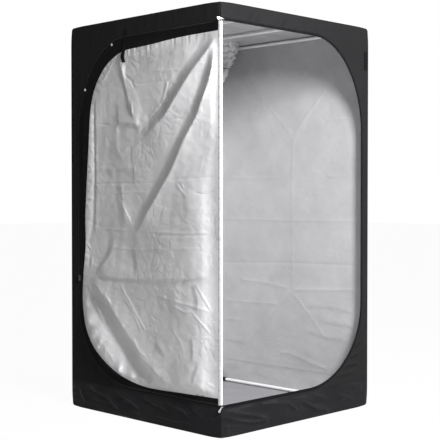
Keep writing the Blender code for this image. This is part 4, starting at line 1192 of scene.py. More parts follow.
@dataclass
class CoverPanels:
    """The walls, the front panel and the roof: black cloth outside, silver film inside."""

    cloth: float = 0.0010
    spacing: float = 0.012
    foot: float = 0.1235
    foot_tuck: float = 0.0014
    panel_gap: float = 0.0110
    port_radius: float = 0.1003
    vent_low: Vec2 = (-0.150, 0.200)
    vent_high: Vec2 = (0.150, 0.360)
    bar_at: float = 0.1665
    seam_at: float = -0.060
    pack_levels: tuple[float, ...] = (0.643, 0.881, 1.100, 1.376)
    inside_folds: tuple[Fold, ...] = rows_of(
        Fold, ((-116, 443, -260, 446, -428, 431), 2.6, 20, 30, 30, 600, 40, 40),
        ((-199, 373, -370, 364, -418, 361), 2.6, 18, 30, 30, 600, 40, 20),
        ((-106, 317, -261, 291, -380, 295), 3, 22, 30, 30, 600, 50, 50),
        ((-64, 110, -221, 112), 2.4, 18, 20, 20, 600, 40, 40), ((458, 222, 292, 213), 2.4, 16, 30, 30, 600, 20, 40))
    inside_creases: tuple[Crease, ...] = rows_of(
        Crease, ((-30, 1310, -28, 900, -32, 526), 1.2), ((-21, 1313, 309, 1638), 1.1, 5, 30),
        ((-34, 1313, -348, 1640), 1.1, 5, 30), ((-21, 521, 304, 212), 1.3, 5, 30),
        ((-32, 514, -261, 283), 1.3, 5, 30), ((-237, 1376, -403, 1380), 1.4), ((451, 1100, 39, 1098), 1.3),
        ((-238, 1102, -373, 1100), 1.3), ((470, 881, 0, 879, -470, 882), 1.6), ((470, 643, 60, 660, -470, 669), -1.6),
        ((-32, 526, -451, 550), 2, 6), ((339, 559, 155, 552, 1, 532), 1.6, 6), ((458, 439, 66, 446), 1.6, 6),
        ((458, 344, 327, 337), 1.4, 6), ((55, 195, -11, 202, -261, 141), 2.2, 8), ((410, 89, 303, 40), 2.6, 8),
        ((292, 102, 177, 42), 2.6, 8), ((177, 115, 76, 40), 2.6, 8), ((250, 1700, 330, 1580), 1.6, 6),
        ((100, 1690, 200, 1570), 1.4, 6), ((-20, 1700, 80, 1600), 1.4, 6), ((-160, 1680, -50, 1560), 1.4, 6))
    front_creases: tuple[Crease, ...] = rows_of(
        Crease, ((-345, 1738, -312, 1776), 8.5, 5.6, 12), ((-300, 1730, -268, 1768), 7.5, 5.4, 12),
        ((-135, 1738, -96, 1776), 8, 5.6, 12), ((-66, 1726, -20, 1752), 6, 5.4, 12),
        ((-401, 1758, -412, 1784), 5, 5.4, 10), ((152, 1738, 186, 1776), 5, 5.6, 12),
        ((20, 1765, 60, 1790), 3.6, 5.6, 12), ((450, 318, 340, 272), 8, 6.6, 30),
        ((440, 262, 310, 244), 8.5, 6.6, 30), ((430, 216, 250, 206), 8, 6.6, 30), ((390, 176, 225, 168), 7, 6.4, 30),
        ((460, 372, 395, 336), 6, 6), ((470, 1560, 440, 1420), 3.4, 8, 40), ((400, 1690, 380, 1610), 3.4, 8, 30))
    left_creases: tuple[Crease, ...] = rows_of(
        Crease, ((920, 292, 911, 154), 3, 10, 40), ((960, 262, 952, 160), 2.4, 9, 40),
        ((833, 230, 823, 172), 2, 9, 30), ((972, 760, 965, 420), 1.6, 12, 80))

    def seam_hold(self, a: Array, b: Array, reach: float = 0.03) -> Array:
        """0 at a wall's edges, where seams and tubes hold it, and 1 away from them."""
        hold = smooth(HALF_WIDTH - np.abs(a), 0.004, reach) * smooth(b, self.foot + 0.004, self.foot + reach)
        return hold * smooth(HEIGHT - b, 0.004, reach)

    def tucked(self, b: Array) -> Array:
        """How far a wall's foot steps in under the tray's hem."""
        return -self.foot_tuck * smooth(b, 0.1315, 0.1285)

    def panel(self, name: str, node: str, cut: SheetCut, place: Place, depth: Depth,
              area: float | None = None) -> None:
        """Makes a panel from its cut for a CAD node; the area it is given is not used."""
        piece = make_sheet(name, cut, place, depth, self.cloth, finish_points=soften)
        settle(piece, "tent", node)

    def wall(self, side: str, depth: Depth, lines: Sequence, holes: Sequence = (), spacing: float | None = None,
             area: float | None = None) -> None:
        """Makes a plain wall, given its side, depth, pressed lines and holes."""
        outline = box_of((-HALF_WIDTH, self.foot), (HALF_WIDTH, HEIGHT))
        cut = SheetCut(outline, spacing or self.spacing, holes, lines)
        self.panel(f"wall_cloth_{side}", f"wall_{side}", cut, wall_place(side), depth, area)

    def left_wall(self) -> None:
        """The wall behind the folded door, quiet where the door lies on it."""
        door = door_line(0.008)
        loop = np.vstack([door[:, :2], door[:1, :2]])

        def depth(a: Array, b: Array) -> Array:
            along = a + HALF_WIDTH
            lift = relief(self.left_creases, along, b) + 0.0008 * crumple(a, b, 11, 0.30)
            under_door = inside(np.stack([along, b], axis=1), loop)
            lift = np.where(under_door, np.minimum(lift, 0.0) - 0.0002, lift)
            return lift * self.seam_hold(a, b) + self.tucked(b)

        self.wall("left", depth, [[(s - HALF_WIDTH, z) for s, z in c.run] for c in self.left_creases])

    def right_wall(self) -> None:
        """The wall that the opening shows: its packing creases press inwards."""
        def depth(a: Array, b: Array) -> Array:
            lift = -relief(self.inside_creases, a, b) - relief(self.inside_folds, a, b)
            lift = lift - 0.0016 * (1 + crumple(a, b, 21, 0.42)) - 0.0007 * crumple(a, b, 22, 0.13)
            slanting = np.sin(2 * math.pi * (a * 0.62 - b * 0.5) / 0.043 + 2.2 * crumple(a, b, 24, 0.2))
            lift = lift - 0.0005 * slanting * smooth(b, 1.50, 1.66)
            return lift * self.seam_hold(a, b) + self.tucked(b)

        self.wall("right", depth, [line.run for line in (*self.inside_creases, *self.inside_folds)], (), 0.0105)

    def back_wall(self) -> None:
        """The back wall with the hole of the lower vent."""
        (half, high), low = self.vent_high, self.vent_low[1]
        lines = [((-0.47, level), (0.47, level)) for level in self.pack_levels]

        def depth(a: Array, b: Array) -> Array:
            lift = 0.0020 * crumple(a, b, 31, 0.40) + 0.0009 * crumple(a, b, 32, 0.12)
            near_vent = smooth(np.maximum(np.abs(a) - half - 0.02, np.abs(b - 0.28) - 0.10), 0.0, 0.04)
            for line in lines:
                lift = lift - Crease(line, 0.0012, 0.005).height(a, b)
            return lift * self.seam_hold(a, b) * near_vent + self.tucked(b)

        area = 2 * HALF_WIDTH * (HEIGHT - self.foot) - 2 * half * (high - low)
        self.wall("back", depth, lines, (box_of(self.vent_low, self.vent_high),), None, area)

    def front_panel(self) -> None:
        """The panel round the opening, puckered where the zip is sewn on."""
        edge = [(float(x), float(z)) for x, z in LINE.stations(0.011, self.panel_gap, -HALF_WIDTH)[::-1, :2]]
        half, foot = HALF_WIDTH, self.foot
        outline = [(-half, HEIGHT), (half, HEIGHT), (half, foot), (-half, foot), *edge]
        rim_line = [tuple(p) for p in LINE.stations(0.006, self.panel_gap)[:, :2]]

        def depth(a: Array, b: Array) -> Array:
            lift = relief(self.front_creases, a, b) + 0.0009 * crumple(a, b, 41, 0.20)
            gap, along, _ = run_measures(a, b, rim_line)
            pucker = ripple(along, 5, 0.034) * np.exp(-((np.abs(gap) - 0.014) / 0.013) ** 2)
            header = ripple(a, 8, 0.075) * smooth(b, 1.70, 1.75)
            lift = lift + 0.0007 * pucker + 0.0010 * header
            hold = self.seam_hold(a, b, 0.022) * smooth(np.abs(gap), 0.001, 0.009)
            return lift * hold + self.tucked(b)

        cut = SheetCut(outline, 0.0095, (), [c.run for c in self.front_creases])
        self.panel("front_panel_cloth", "front_panel", cut, wall_place("front"), depth, loop_area(np.array(outline)))

    def roof(self) -> None:
        """The roof, which sags a little between its bars, with the round port in it."""
        def place(a: Array, b: Array, out: Array) -> Array:
            inset = np.clip(-out, 0.0, 0.0012)
            return np.stack([np.clip(a, inset - HALF_WIDTH, HALF_WIDTH - inset),
                             np.clip(b, inset - HALF_WIDTH, HALF_WIDTH - inset), HEIGHT + out], axis=1)

        def depth(a: Array, b: Array) -> Array:
            hold = smooth(HALF_WIDTH - np.maximum(np.abs(a), np.abs(b)), 0.012, 0.07)
            bar = 1 - np.exp(-((np.abs(a) - self.bar_at) / 0.05) ** 2) * 0.8
            port = smooth(np.hypot(a - PORT[0], b - PORT[1]), 0.115, 0.17)
            seam = 0.0009 * np.exp(-((b - self.seam_at) / 0.006) ** 2)
            sag = -0.0014 + 0.0011 * crumple(a, b, 51, 0.24)
            return (sag * bar * port + seam) * hold

        hole = [(PORT[0] + self.port_radius * math.cos(t), PORT[1] + self.port_radius * math.sin(t))
                for t in np.linspace(0, 2 * math.pi, 73)[:-1]]
        outline = box_of((-HALF_WIDTH, -HALF_WIDTH), (HALF_WIDTH, HALF_WIDTH))
        cut = SheetCut(outline, 0.012, (hole,), [((-0.46, self.seam_at), (0.46, self.seam_at))])
        self.panel("roof_cloth", "roof", cut, place, depth, 4 * HALF_WIDTH**2 - math.pi * self.port_radius**2)

    def roof_seam(self) -> None:
        """The tape along the roof's seam, on the inside."""
        low, high = box_low_high("roof_seam_tape")
        path = np.array([(x, (low[1] + high[1]) / 2, high[2]) for x in np.linspace(low[0], high[0], 60)])
        path[:, 2] += 0.0002 * crumple(path[:, 0], path[:, 1], 52, 0.1)
        tape = straight_band("roof_seam_band", path, TO_BACK, DOWN, flat_profile(-0.007, 0.007, 0.0, 0.0010),
                             Finish.SILVER)
        settle(tape, "tent", "roof_seam_tape")

    def label_tab(self) -> None:
        """The blank folded tab beside the opening."""
        low, high = box_low_high("label_tab")

        def depth(a: Array, b: Array) -> Array:
            return 0.0016 + 0.0010 * smooth(b, low[2] + 0.03, low[2]) + 0.0002 * crumple(a, b, 61, 0.03)

        cut = SheetCut(box_of(low[::2], high[::2]), 0.004, hems=(0.0012,))
        piece = make_sheet("blank_label", cut, front_place, depth, 0.0008, Finish.TAPE, Finish.TAPE)
        settle(piece, "tent", "label_tab")

    def build(self) -> None:
        """Makes the five panels, the roof's seam tape and the label tab."""
        self.left_wall()
        self.right_wall()
        self.back_wall()
        self.front_panel()
        self.roof()
        self.roof_seam()
        self.label_tab()
        log.info("cover: three walls, front panel, roof, seam tape, label tab")


@dataclass
class BaseTray:
    """The floor and its turned-up skirt: heavy coated cloth outside, dulled silver inside."""

    cloth: float = 0.0012
    hem: float = 0.1275
    floor_inset: float = 0.0015
    front_creases: tuple[Crease, ...] = rows_of(
        Crease, ((-478, 112, -373, 88, -274, 62, -193, 35), 8.5, 8, 50),
        ((-478, 83, -324, 45, -192, 28), 7.5, 7.2, 50), ((-1, 96, 99, 45, 225, 15), 8, 7.6, 50),
        ((-100, 100, -1, 42), 7, 7, 40), ((-284, 114, -172, 104, -45, 86), 6, 6.6, 50),
        ((-488, 40, -459, 49, -469, 17), 5, 6.6), ((368, 101, 467, 96), 4, 7, 30), ((250, 85, 402, 40), 5, 8, 50),
        ((80, 108, 200, 74), 5, 7, 40))
    left_creases: tuple[Crease, ...] = rows_of(
        Crease, ((867, 116, 726, 84, 622, 29), 7.5, 10, 50), ((684, 116, 550, 88, 471, 51), 7.5, 10, 50),
        ((490, 116, 355, 90, 298, 56), 7, 9, 50), ((336, 116, 215, 96, 170, 63), 6, 9, 40),
        ((170, 114, 82, 76), 5, 8, 30), ((940, 100, 880, 30), 4.5, 9, 30))

    def declare(self, piece: Piece) -> None:
        """Attaches a sheet to the tent's body in place of the tray's CAD node."""
        settle(piece, "tent", "base_floor_skirt")

    def side(self, side: str, creases: Sequence[Crease], seed: int, start: float = 0.0) -> None:
        """Makes one side of the skirt: held at its hem, corners and foot, puffed and creased between.

        Args:
            side: left, right, front or back.
            creases: its pressed lines.
            seed: picks its unevenness.
            start: where its lines are measured from, on the side's own axis.
        """
        def depth(a: Array, b: Array) -> Array:
            lift = relief(creases, a - start, b) + 0.0016 + 0.0016 * crumple(a, b * 1.6, seed, 0.16)
            hold = smooth(HALF_WIDTH - np.abs(a), 0.004, 0.030) * smooth(self.hem - b, 0.003, 0.020)
            return np.clip(lift, -0.0012, 0.0100) * hold * smooth(b, 0.0, 0.020)

        lines = [[(s + start, z) for s, z in c.run] for c in creases]
        cut = SheetCut(box_of((-HALF_WIDTH, 0.0), (HALF_WIDTH, self.hem)), 0.0080, (), lines)
        piece = make_sheet(f"skirt_cloth_{side}", cut, wall_place(side), depth, self.cloth, Finish.BASE,
                           finish_points=soften)
        self.declare(piece)

    def floor(self) -> None:
        """The floor cloth, with the slight waves of its folding."""
        edge = HALF_WIDTH - self.floor_inset

        def place(a: Array, b: Array, out: Array) -> Array:
            return np.stack([a, b, out], axis=1)

        def depth(a: Array, b: Array) -> Array:
            lift = 0.0010 + 0.0010 * crumple(a, b, 71, 0.22)
            for at in (-0.25, 0.0, 0.25):
                lift = lift + 0.0010 * np.exp(-((a - at) / 0.006) ** 2) + 0.0010 * np.exp(-((b - at) / 0.006) ** 2)
            return 0.0012 + np.clip(lift, 0.0, 0.0026) * smooth(edge - np.maximum(np.abs(a), np.abs(b)), 0.002, 0.03)

        piece = make_sheet("floor_cloth", SheetCut(box_of((-edge, -edge), (edge, edge)), 0.014), place, depth,
                           self.cloth, Finish.FLOOR_SILVER, Finish.BASE, soften)
        self.declare(piece)

    def build(self) -> None:
        """Makes the four sides and the floor."""
        self.side("front", self.front_creases, 81)
        self.side("left", self.left_creases, 82, -HALF_WIDTH)
        self.side("right", (), 83)
        self.side("back", (), 84)
        self.floor()
        log.info("tray: four skirt sides, floor")


def sewn_row(name: str, line: Array, depth: float, body: str, node: str | None = None,
             bits: RepeatedBits = STITCH, finish: Finish = Finish.THREAD) -> None:
    """Sets stitches or teeth along rows of (across, up), at a depth in metres, on the front face or the door's."""
    place, facing = (door_place, TO_LEFT) if body == "door" else (front_place, TO_FRONT)
    path = place(line[:, 0], line[:, 1], np.full(len(line), depth))
    settle(bits.sew(name, path, facing, finish), body, node)


@dataclass
class Zips:
    """The zip tapes and coils of the opening and of the door, and the two sliders."""

    rim_width: float = 0.0125
    door_width: float = 0.025
    tape: float = 0.0012
    coil_at: float = 0.0017

    def band(self, name: str, line: Array, place: Place, profile: Sequence[Vec2], body: str, node: str) -> None:
        """Sweeps a tape's section, outwards and out of the cloth, along rows of (across, up, normal to the line)."""
        zero = np.zeros(len(line))
        path = place(line[:, 0], line[:, 1], zero)
        across = place(line[:, 0] + line[:, 2], line[:, 1] + line[:, 3], zero) - path
        out = place(line[:, 0], line[:, 1], zero + 1.0) - path
        settle(sweep(name, path, across, out, profile), body, node)

    def build(self) -> None:
        """Makes both tapes, both coils, their seams, and dresses the sliders."""
        rim = flat_profile(0.0, self.rim_width, -self.tape, 0.0)
        self.band("rim_zip_tape", LINE.stations(0.010), front_place, rim, "tent", "rim_zip")
        sewn_row("rim_zip_coil", LINE.stations(0.006, self.coil_at), -0.0018, "tent", "rim_zip", TOOTH,
                 Finish.COIL)
        sewn_row("rim_zip_stitches", LINE.stations(0.006, 0.0085), 0.0003, "tent")
        sewn_row("rim_panel_stitches", LINE.stations(0.006, 0.0150), 0.0004, "tent")
        edge = flat_profile(-self.door_width, 0.0, 0.0, self.tape)
        self.band("door_zip_tape", door_line(0.0), door_place, edge, "door", "door_zip")
        sewn_row("door_zip_coil", door_line(-self.coil_at), 0.0015, "door", "door_zip", TOOTH,
                 Finish.COIL)
        sewn_row("door_zip_stitches", door_line(-0.0065), 0.0014, "door")
        sewn_row("door_tape_stitches", door_line(-0.0215), 0.0014, "door")
        for name in ("slider_top", "slider_bottom"):
            dress(name, Finish.PLASTIC)
            dress(f"{name}_pull", Finish.NICKEL)
        log.info("zips: two tapes, two coils, four rows of stitches, two sliders")


def eased(loop: Sequence[Vec2], rounds: int) -> Array:
    """Rounds an open run's corners, its ends kept."""
    points = [np.array(p) for p in loop]
    for _ in range(rounds):
        cut = [points[0]]
        for p, q in zip(points, points[1:]):
            cut += [0.75 * p + 0.25 * q, 0.25 * p + 0.75 * q]
        points = [*cut, points[-1]]
    return np.array(points)


@dataclass
class Door:
    """The folded-back door: silver film outwards, its soft folds hung from the head of the hinge seam.

    Its lines are drawn as they look from the front corner, and each point slides towards that corner by its height.
    """

    cloth: float = 0.0010
    facing_cloth: float = 0.0008
    facing_step: float = 0.0022
    spacing: float = 0.0064
    most: float = 0.044
    least: float = 0.0013
    eye_along: float = 3.0205
    eye_up: float = 0.9974
    eye_out: float = 3.054
    seam_at: float = 0.0077
    outline: tuple[Vec2, ...] = mm(11.5, 1681, 120, 1680, 239, 1678, 350, 1671, 463, 1663, 560, 1660, 608, 1657, 665,
        1642, 741, 1601, 785, 1555, 818, 1509, 840, 1460, 858, 1387, 866, 1262, 877, 1138, 887, 1012, 896, 886, 890,
        814, 895, 731, 909, 647, 913, 591, 916, 522, 910, 453, 888, 372, 839, 300, 758, 241, 652, 190, 530, 163, 431,
        155, 261, 160, 117, 164, 11.5, 167)
    folds: tuple[Fold, ...] = rows_of(
        Fold,
        ((30, 1684, 109, 1612, 190, 1547, 273, 1463, 358, 1370, 446, 1311, 517, 1273), 30, 50, 60, 90, 620, 80, 130),
        ((20, 1672, 93, 1488, 165, 1348, 239, 1256, 324, 1121, 411, 1017, 482, 934, 537, 856, 579, 841), 27, 46, 60,
         90, 620, 80, 140),
        ((660, 1639, 623, 1530, 590, 1432, 549, 1337), 8.5, 16, 50, 70, 700, 30, 50),
        ((832, 627, 651, 620, 489, 624, 335, 633, 197, 641, 116, 656, 55, 668), 7, 16, 50, 60, 600, 80, 80),
        ((876, 600, 757, 505, 672, 418, 590, 345, 510, 261, 431, 218, 355, 167), 32, 52, 100, 100, 500, 100, 80),
        ((887, 593, 832, 500, 757, 410), 7.5, 20, 30, 40, 600, 50, 70),
        ((822, 1452, 819, 1261, 817, 1074, 822, 950, 828, 850, 837, 815, 853, 732, 870, 630), 6.2, 10, 50, 50, 450,
         50, 80),
        ((692, 765, 821, 658), 7, 26, 40, 50, 600, 50, 50),
        ((134, 303, 161, 251, 183, 198), 6, 20, 40, 50, 600, 40, 30),
        ((179, 410, 174, 336, 179, 286), 5, 20, 40, 50, 600, 40, 40),
        ((412, 382, 392, 339, 335, 300), 6, 20, 40, 50, 600, 40, 40),
        ((657, 1060, 639, 951, 629, 854), 8, 46, 50, 60, 600, 30, 70),
        ((536, 1250, 560, 1191, 536, 1023), 2.2, 12, 50, 60, 600, 60, 70),
        ((790, 1360, 775, 1200, 740, 1105), 3.4, 70, 60, 60, 600, 120, 90),
        ((660, 1130, 780, 1118), 4, 30, 30, 40, 600, 40, 40),
        ((560, 800, 540, 700, 545, 640), 5, 30, 50, 60, 600, 50, 50),
        ((630, 1598, 535, 1603, 410, 1627, 323, 1645, 272, 1662, 214, 1680), 20, 62, 30, 80, 600, 30, 160),
        ((665, 1320, 609, 1322, 505, 1306), 10, 24, 40, 50, 600, 20, 30),
        ((800, 1118, 690, 1108, 600, 1112, 540, 1120), 6, 30, 30, 40, 600, 50, 50),
        ((730, 1300, 700, 1210, 640, 1120), 5, 80, 50, 60, 600, 100, 60),
        ((690, 840, 760, 740, 830, 660), 9, 70, 50, 60, 600, 60, 60),
        ((330, 620, 300, 540, 310, 470), 5, 60, 40, 60, 600, 80, 60),
        ((180, 640, 150, 560, 160, 500), 5, 30, 40, 50, 600, 50, 50))
    creases: tuple[Crease, ...] = rows_of(
        Crease, ((446, 1343, 349, 1416, 323, 1489, 340, 1499), 2.6, 4.4), ((812, 1059, 385, 1061), -1.8, 3.4),
        ((324, 1072, 38, 1082), -1.6, 3.4), ((705, 1018, 446, 1020), 1.3, 3.4), ((809, 853, 589, 848), 1.7, 3.4),
        ((548, 849, 223, 843, 73, 850), 1.7, 3.4), ((411, 829, 73, 838), -1.4, 3.4),
        ((682, 769, 549, 763, 353, 773, 81, 783), 1.5, 3.4), ((157, 1016, 93, 1010, 38, 1024), -2.8, 3.6),
        ((273, 1060, 235, 1025, 198, 994), 1.8, 4), ((240, 1062, 215, 1030), 2.4, 3.6),
        ((290, 1335, 223, 1331), -2.4, 3.6), ((341, 1274, 248, 1276), 1.7, 3.6), ((133, 1556, 85, 1554), 1.8, 3.6),
        ((436, 1551, 239, 1540), 1.6, 3.6), ((535, 1500, 323, 1498), -1.8, 3.6), ((821, 1341, 713, 1327), -2.2, 3.6),
        ((609, 1547, 560, 1515, 535, 1476), -2.8, 4), ((818, 1509, 751, 1540, 684, 1620), 2.2, 4),
        ((760, 1440, 740, 1330), 1, 5, 30), ((560, 1440, 555, 1350), 1.6, 4, 30),
        ((553, 1240, 560, 1120), 1.4, 4, 30), ((110, 1330, 120, 1220), 0.9, 5.4, 40),
        ((100, 1180, 130, 1080), 0.9, 6, 40), ((651, 610, 579, 531, 509, 451, 460, 397), 2.4, 5.4, 40),
        ((631, 561, 549, 481, 490, 388), 1.8, 5, 40), ((392, 570, 297, 551, 188, 540, 47, 520), 2.6, 5.4, 40),
        ((307, 538, 215, 507, 170, 517), 2.6, 4.4, 30), ((179, 516, 117, 471, 47, 423), 2.4, 5.4, 30),
        ((152, 635, 90, 566, 56, 525), 2.2, 5, 30), ((125, 409, 47, 413), 2.4, 4.4), ((99, 196, 73, 218, 30, 211), 3),
        ((560, 380, 520, 320, 450, 280), 2, 5.4, 30), ((300, 430, 240, 380, 230, 330), 1.6, 5.4, 30),
        ((760, 560, 700, 500), 2.4, 5, 30), ((880, 780, 850, 755), 2, 3.6, 10), ((868, 1150, 842, 1130), 2, 3.6, 10),
        ((876, 1070, 846, 1060), -2, 3.6, 10))
    tape_edge: Array = field(init=False)
    silver_edge: Array = field(init=False)

    def __post_init__(self) -> None:
        """Works out the lines that the cloth fades against."""
        self.tape_edge = door_line(-0.0240, 0.030)[:, :2]
        self.silver_edge = eased(self.outline, 2)

    def rise_beside(self, fold: Fold, a: Array, b: Array, start: float, reach: float, slope: float, fades: Vec2,
                    end: float) -> Array:
        """How the cloth climbs beyond a fold: from a start, over a reach, at a slope, fading to the fold's ends."""
        past, run, length = run_measures(a, b, fold.run)
        return np.clip(past - start, 0.0, reach) * slope * smooth(run, *fades) * smooth(run, length, length - end)

    def puff(self, a: Array, b: Array) -> Array:
        """The cloth's stand-off before its edges hold it: a slack belly, the folds and its unevenness."""
        low, foot = smooth(b, 1.20, 0.85), smooth(b, 0.72, 0.46)
        lift = (0.0210 + 0.0110 * low) * smooth(a, -0.05, 0.24 - 0.04 * low)
        lift = lift - (0.0110 + 0.0210 * low * (1 - foot)) * smooth(a, 0.24 - 0.08 * low, 0.80) * (1 - foot)
        lift = lift - 0.0250 * foot * smooth(a, 0.13, 0.58)
        lift = lift + relief(self.folds, a, b)
        lift = lift + self.rise_beside(self.folds[6], a, b, 0.0, 0.075, 0.22, (0.0, 0.08), 0.10)
        lift = lift + self.rise_beside(self.folds[4], a, b, 0.02, 0.12, 0.24, (0.0, 0.12), 0.08)
        lift = lift + 0.0036 * crumple(a, b, 91, 0.24, 1) + 0.0009 * crumple(a * 0.8, b * 1.3, 92, 0.075, 2)
        fine = smooth(crumple(a, b, 94, 0.35, 1), -0.2, 0.6) * (0.5 + 0.9 * smooth(b, 0.70, 0.50))
        lift = lift + 0.0006 * crumple(a * 0.7, b * 1.4, 93, 0.030, 2) * fine
        return np.maximum(lift, 0.0) * smooth(a, 0.010, 0.062 + 0.055 * smooth(b, 1.25, 1.0))

    def height(self, a: Array, b: Array) -> Array:
        """How far the silver film stands off the wall, at places as they look from the front corner."""
        tape_gap = np.abs(run_measures(a, b, self.tape_edge)[0])
        tape_gap = np.where(inside(np.stack([a, b], axis=1), self.tape_edge), tape_gap, 0.0)
        edge_gap, along, _ = run_measures(a, b, self.silver_edge)
        edge_gap = np.abs(edge_gap)
        reach = 0.085 - 0.050 * smooth(b, 0.62, 0.50)
        lift = self.puff(a, b) * (0.35 + 0.65 * smooth(tape_gap / reach, 0.0, 1.0)) * smooth(tape_gap, 0.0, 0.026)
        pucker = ripple(along, 8, 0.075) * np.exp(-((edge_gap / 0.05) ** 2)) * smooth(b, 0.60, 0.42)
        lift = lift + 0.0060 * pucker * smooth(tape_gap, 0.0, 0.03) * smooth(a, 0.03, 0.12)
        gather = ripple(along, 7, 0.036) * np.exp(-((edge_gap / 0.030) ** 2)) * smooth(a, 0.03, 0.12)
        gather = gather * (0.25 + 0.75 * smooth(ripple(along, 11, 0.19), -0.7, 0.8))
        lift = lift + 0.0024 * (gather + 0.35) * smooth(tape_gap, 0.0, 0.012)
        lift = lift + 0.9 * relief(self.creases, a, b) * smooth(tape_gap, 0.0, 0.02)
        lift = np.minimum(lift, np.maximum(0.0028, a - 0.0240))
        lift = self.least + np.maximum(lift, 0.0)
        return np.where(lift > self.most - 0.006,
                        self.most - 0.006 * np.exp(-(lift - self.most + 0.006) / 0.006), lift)

    def seen_place(self, a: Array, b: Array, out: Array) -> Array:
        """Puts places drawn from the front corner into the tent's space."""
        along = a - out * (a + self.eye_along) / self.eye_out
        up = b - out * (b - self.eye_up) / self.eye_out
        return door_place(along, up, out)

    def surface(self, along: Array, up: Array) -> Array:
        """How far the film stands off the wall at true places."""
        a, b = np.asarray(along, float), np.asarray(up, float)
        for _ in range(6):
            out = self.height(a, b)
            a = (along + out * self.eye_along / self.eye_out) / (1 - out / self.eye_out)
            b = (up - out * self.eye_up / self.eye_out) / (1 - out / self.eye_out)
        return self.height(a, b)

    def film(self) -> None:
        """The silver side, one sheet with all its folds."""
        edge = [(float(x), float(z)) for x, z in self.silver_edge]
        lines = [c.run for c in self.creases] + [self.folds[6].run]
        cut = SheetCut(edge, self.spacing, (), lines, 0.0036, (0.0025, 0.006))
        piece = make_sheet("door_silver_cloth", cut, self.seen_place, self.height, self.cloth, Finish.DOOR_SILVER,
                           Finish.OXFORD, None, 50.0)
        settle(piece, "door", "door_cloth")
        loop_area(self.silver_edge) * 1.02

    def facing(self) -> None:
        """The black facing between the silver film's edge and the zip tape."""
        outline = [(float(s), float(z)) for s, z in door_line(-0.0120, 0.009)[:, :2]]
        silver = self.silver_edge[1:-1]
        middle = silver.mean(axis=0)
        shrunk = [p + (middle - p) / np.linalg.norm(middle - p) * 0.014 for p in silver]
        hole = [(max(float(s), 0.030), float(z)) for s, z in shrunk]

        def depth(a: Array, b: Array) -> Array:
            return np.maximum(self.height(a, b) - self.facing_step, 0.0009)

        piece = make_sheet("door_facing_cloth", SheetCut(outline, 0.0085, (hole,)), self.seen_place, depth,
                           self.facing_cloth, Finish.TAPE, Finish.OXFORD)
        settle(piece, "door", "door_cloth")
        loop_area(np.array(outline)) - loop_area(np.array(hole))

    def binding(self) -> None:
        """The binding folded over the hinge edge, with its stitches; its grey tone is painted shade for the silver
        edge in shade beside the hinge.
        """
        low, high = box_low_high("door_binding")
        rows = np.linspace(low[2], high[2], 130)
        path = door_place(np.full(130, self.seam_at), rows, np.zeros(130))
        path[:, 1] += 0.0003 * ripple(rows, 12, 0.09)
        thick = high[0] - low[0]
        profile = [(-0.0045, 0.0), (0.0045, 0.0), (0.0045, thick * 0.55), (0.0040, thick * 0.85), (0.0028, thick),
                   (-0.0028, thick), (-0.0040, thick * 0.85), (-0.0045, thick * 0.55)]
        piece = straight_band("door_edge_binding", path, TO_BACK, TO_LEFT, profile, Finish.PAINTED_SHADE_BINDING)
        settle(piece, "door", "door_binding")
        line = np.stack([np.full(130, 0.0098), rows], axis=1)
        sewn_row("door_binding_stitches", line, thick + 0.0001, "door", None, STITCH,
                 Finish.GREY_THREAD)
        places = door_place(np.full(38, 0.0058), np.linspace(low[2] + 0.02, high[2] - 0.02, 38),
                            np.full(38, thick + 0.0001))
        tacks = BAR_TACK.along("door_binding_tacks", places, np.tile(UP, (38, 1)), TO_LEFT, Finish.GREY_THREAD)
        settle(tacks, "door")

    def strap(self) -> None:
        """The webbing strap that hangs over the film from the head, and its anchor on the tent."""
        low, high = box_low_high("door_strap")
        middle, count = (low[1] + high[1]) / 2 + HALF_WIDTH, 40
        rows = np.linspace(high[2], low[2], count)
        lean = middle + 0.012 * (rows - low[2]) / (high[2] - low[2]) - 0.006
        depth = np.max([self.surface(lean + side, rows) for side in (-0.011, 0.0, 0.011)], axis=0) + 0.0005
        path = door_place(lean, rows, np.maximum(depth, 0.0030))
        across = np.tile(TO_BACK, (count, 1))
        out = np.cross(across, unit(np.gradient(path, axis=0)))
        out *= np.sign(-out[:, :1])
        piece = sweep("door_holding_strap", path, across, out, flat_profile(-0.0110, 0.0110, 0.0, 0.0014))
        settle(piece, "door", "door_strap")
        low, high = box_low_high("strap_anchor")
        rows = np.linspace(low[2], high[2], 14)
        path = np.stack([np.full(14, high[0]), np.full(14, (low[1] + high[1]) / 2), rows], axis=1)
        anchor = straight_band("strap_anchor_tab", path, TO_BACK, TO_LEFT,
                               flat_profile(-0.0085, 0.0085, 0.0, high[0] - low[0]))
        settle(anchor, "tent", "strap_anchor")

    def build(self) -> None:
        """Makes the cloth, its facing, the binding and the strap, and dresses the small parts."""
        self.film()
        self.facing()
        self.binding()
        self.strap()
        for node, finish in (("door_eyelet_top", Finish.NICKEL), ("door_eyelet_side", Finish.NICKEL),
                             ("door_toggle", Finish.PLASTIC)):
            dress(node, finish)
        log.info("door: film, facing, binding, strap, eyelets, toggle")


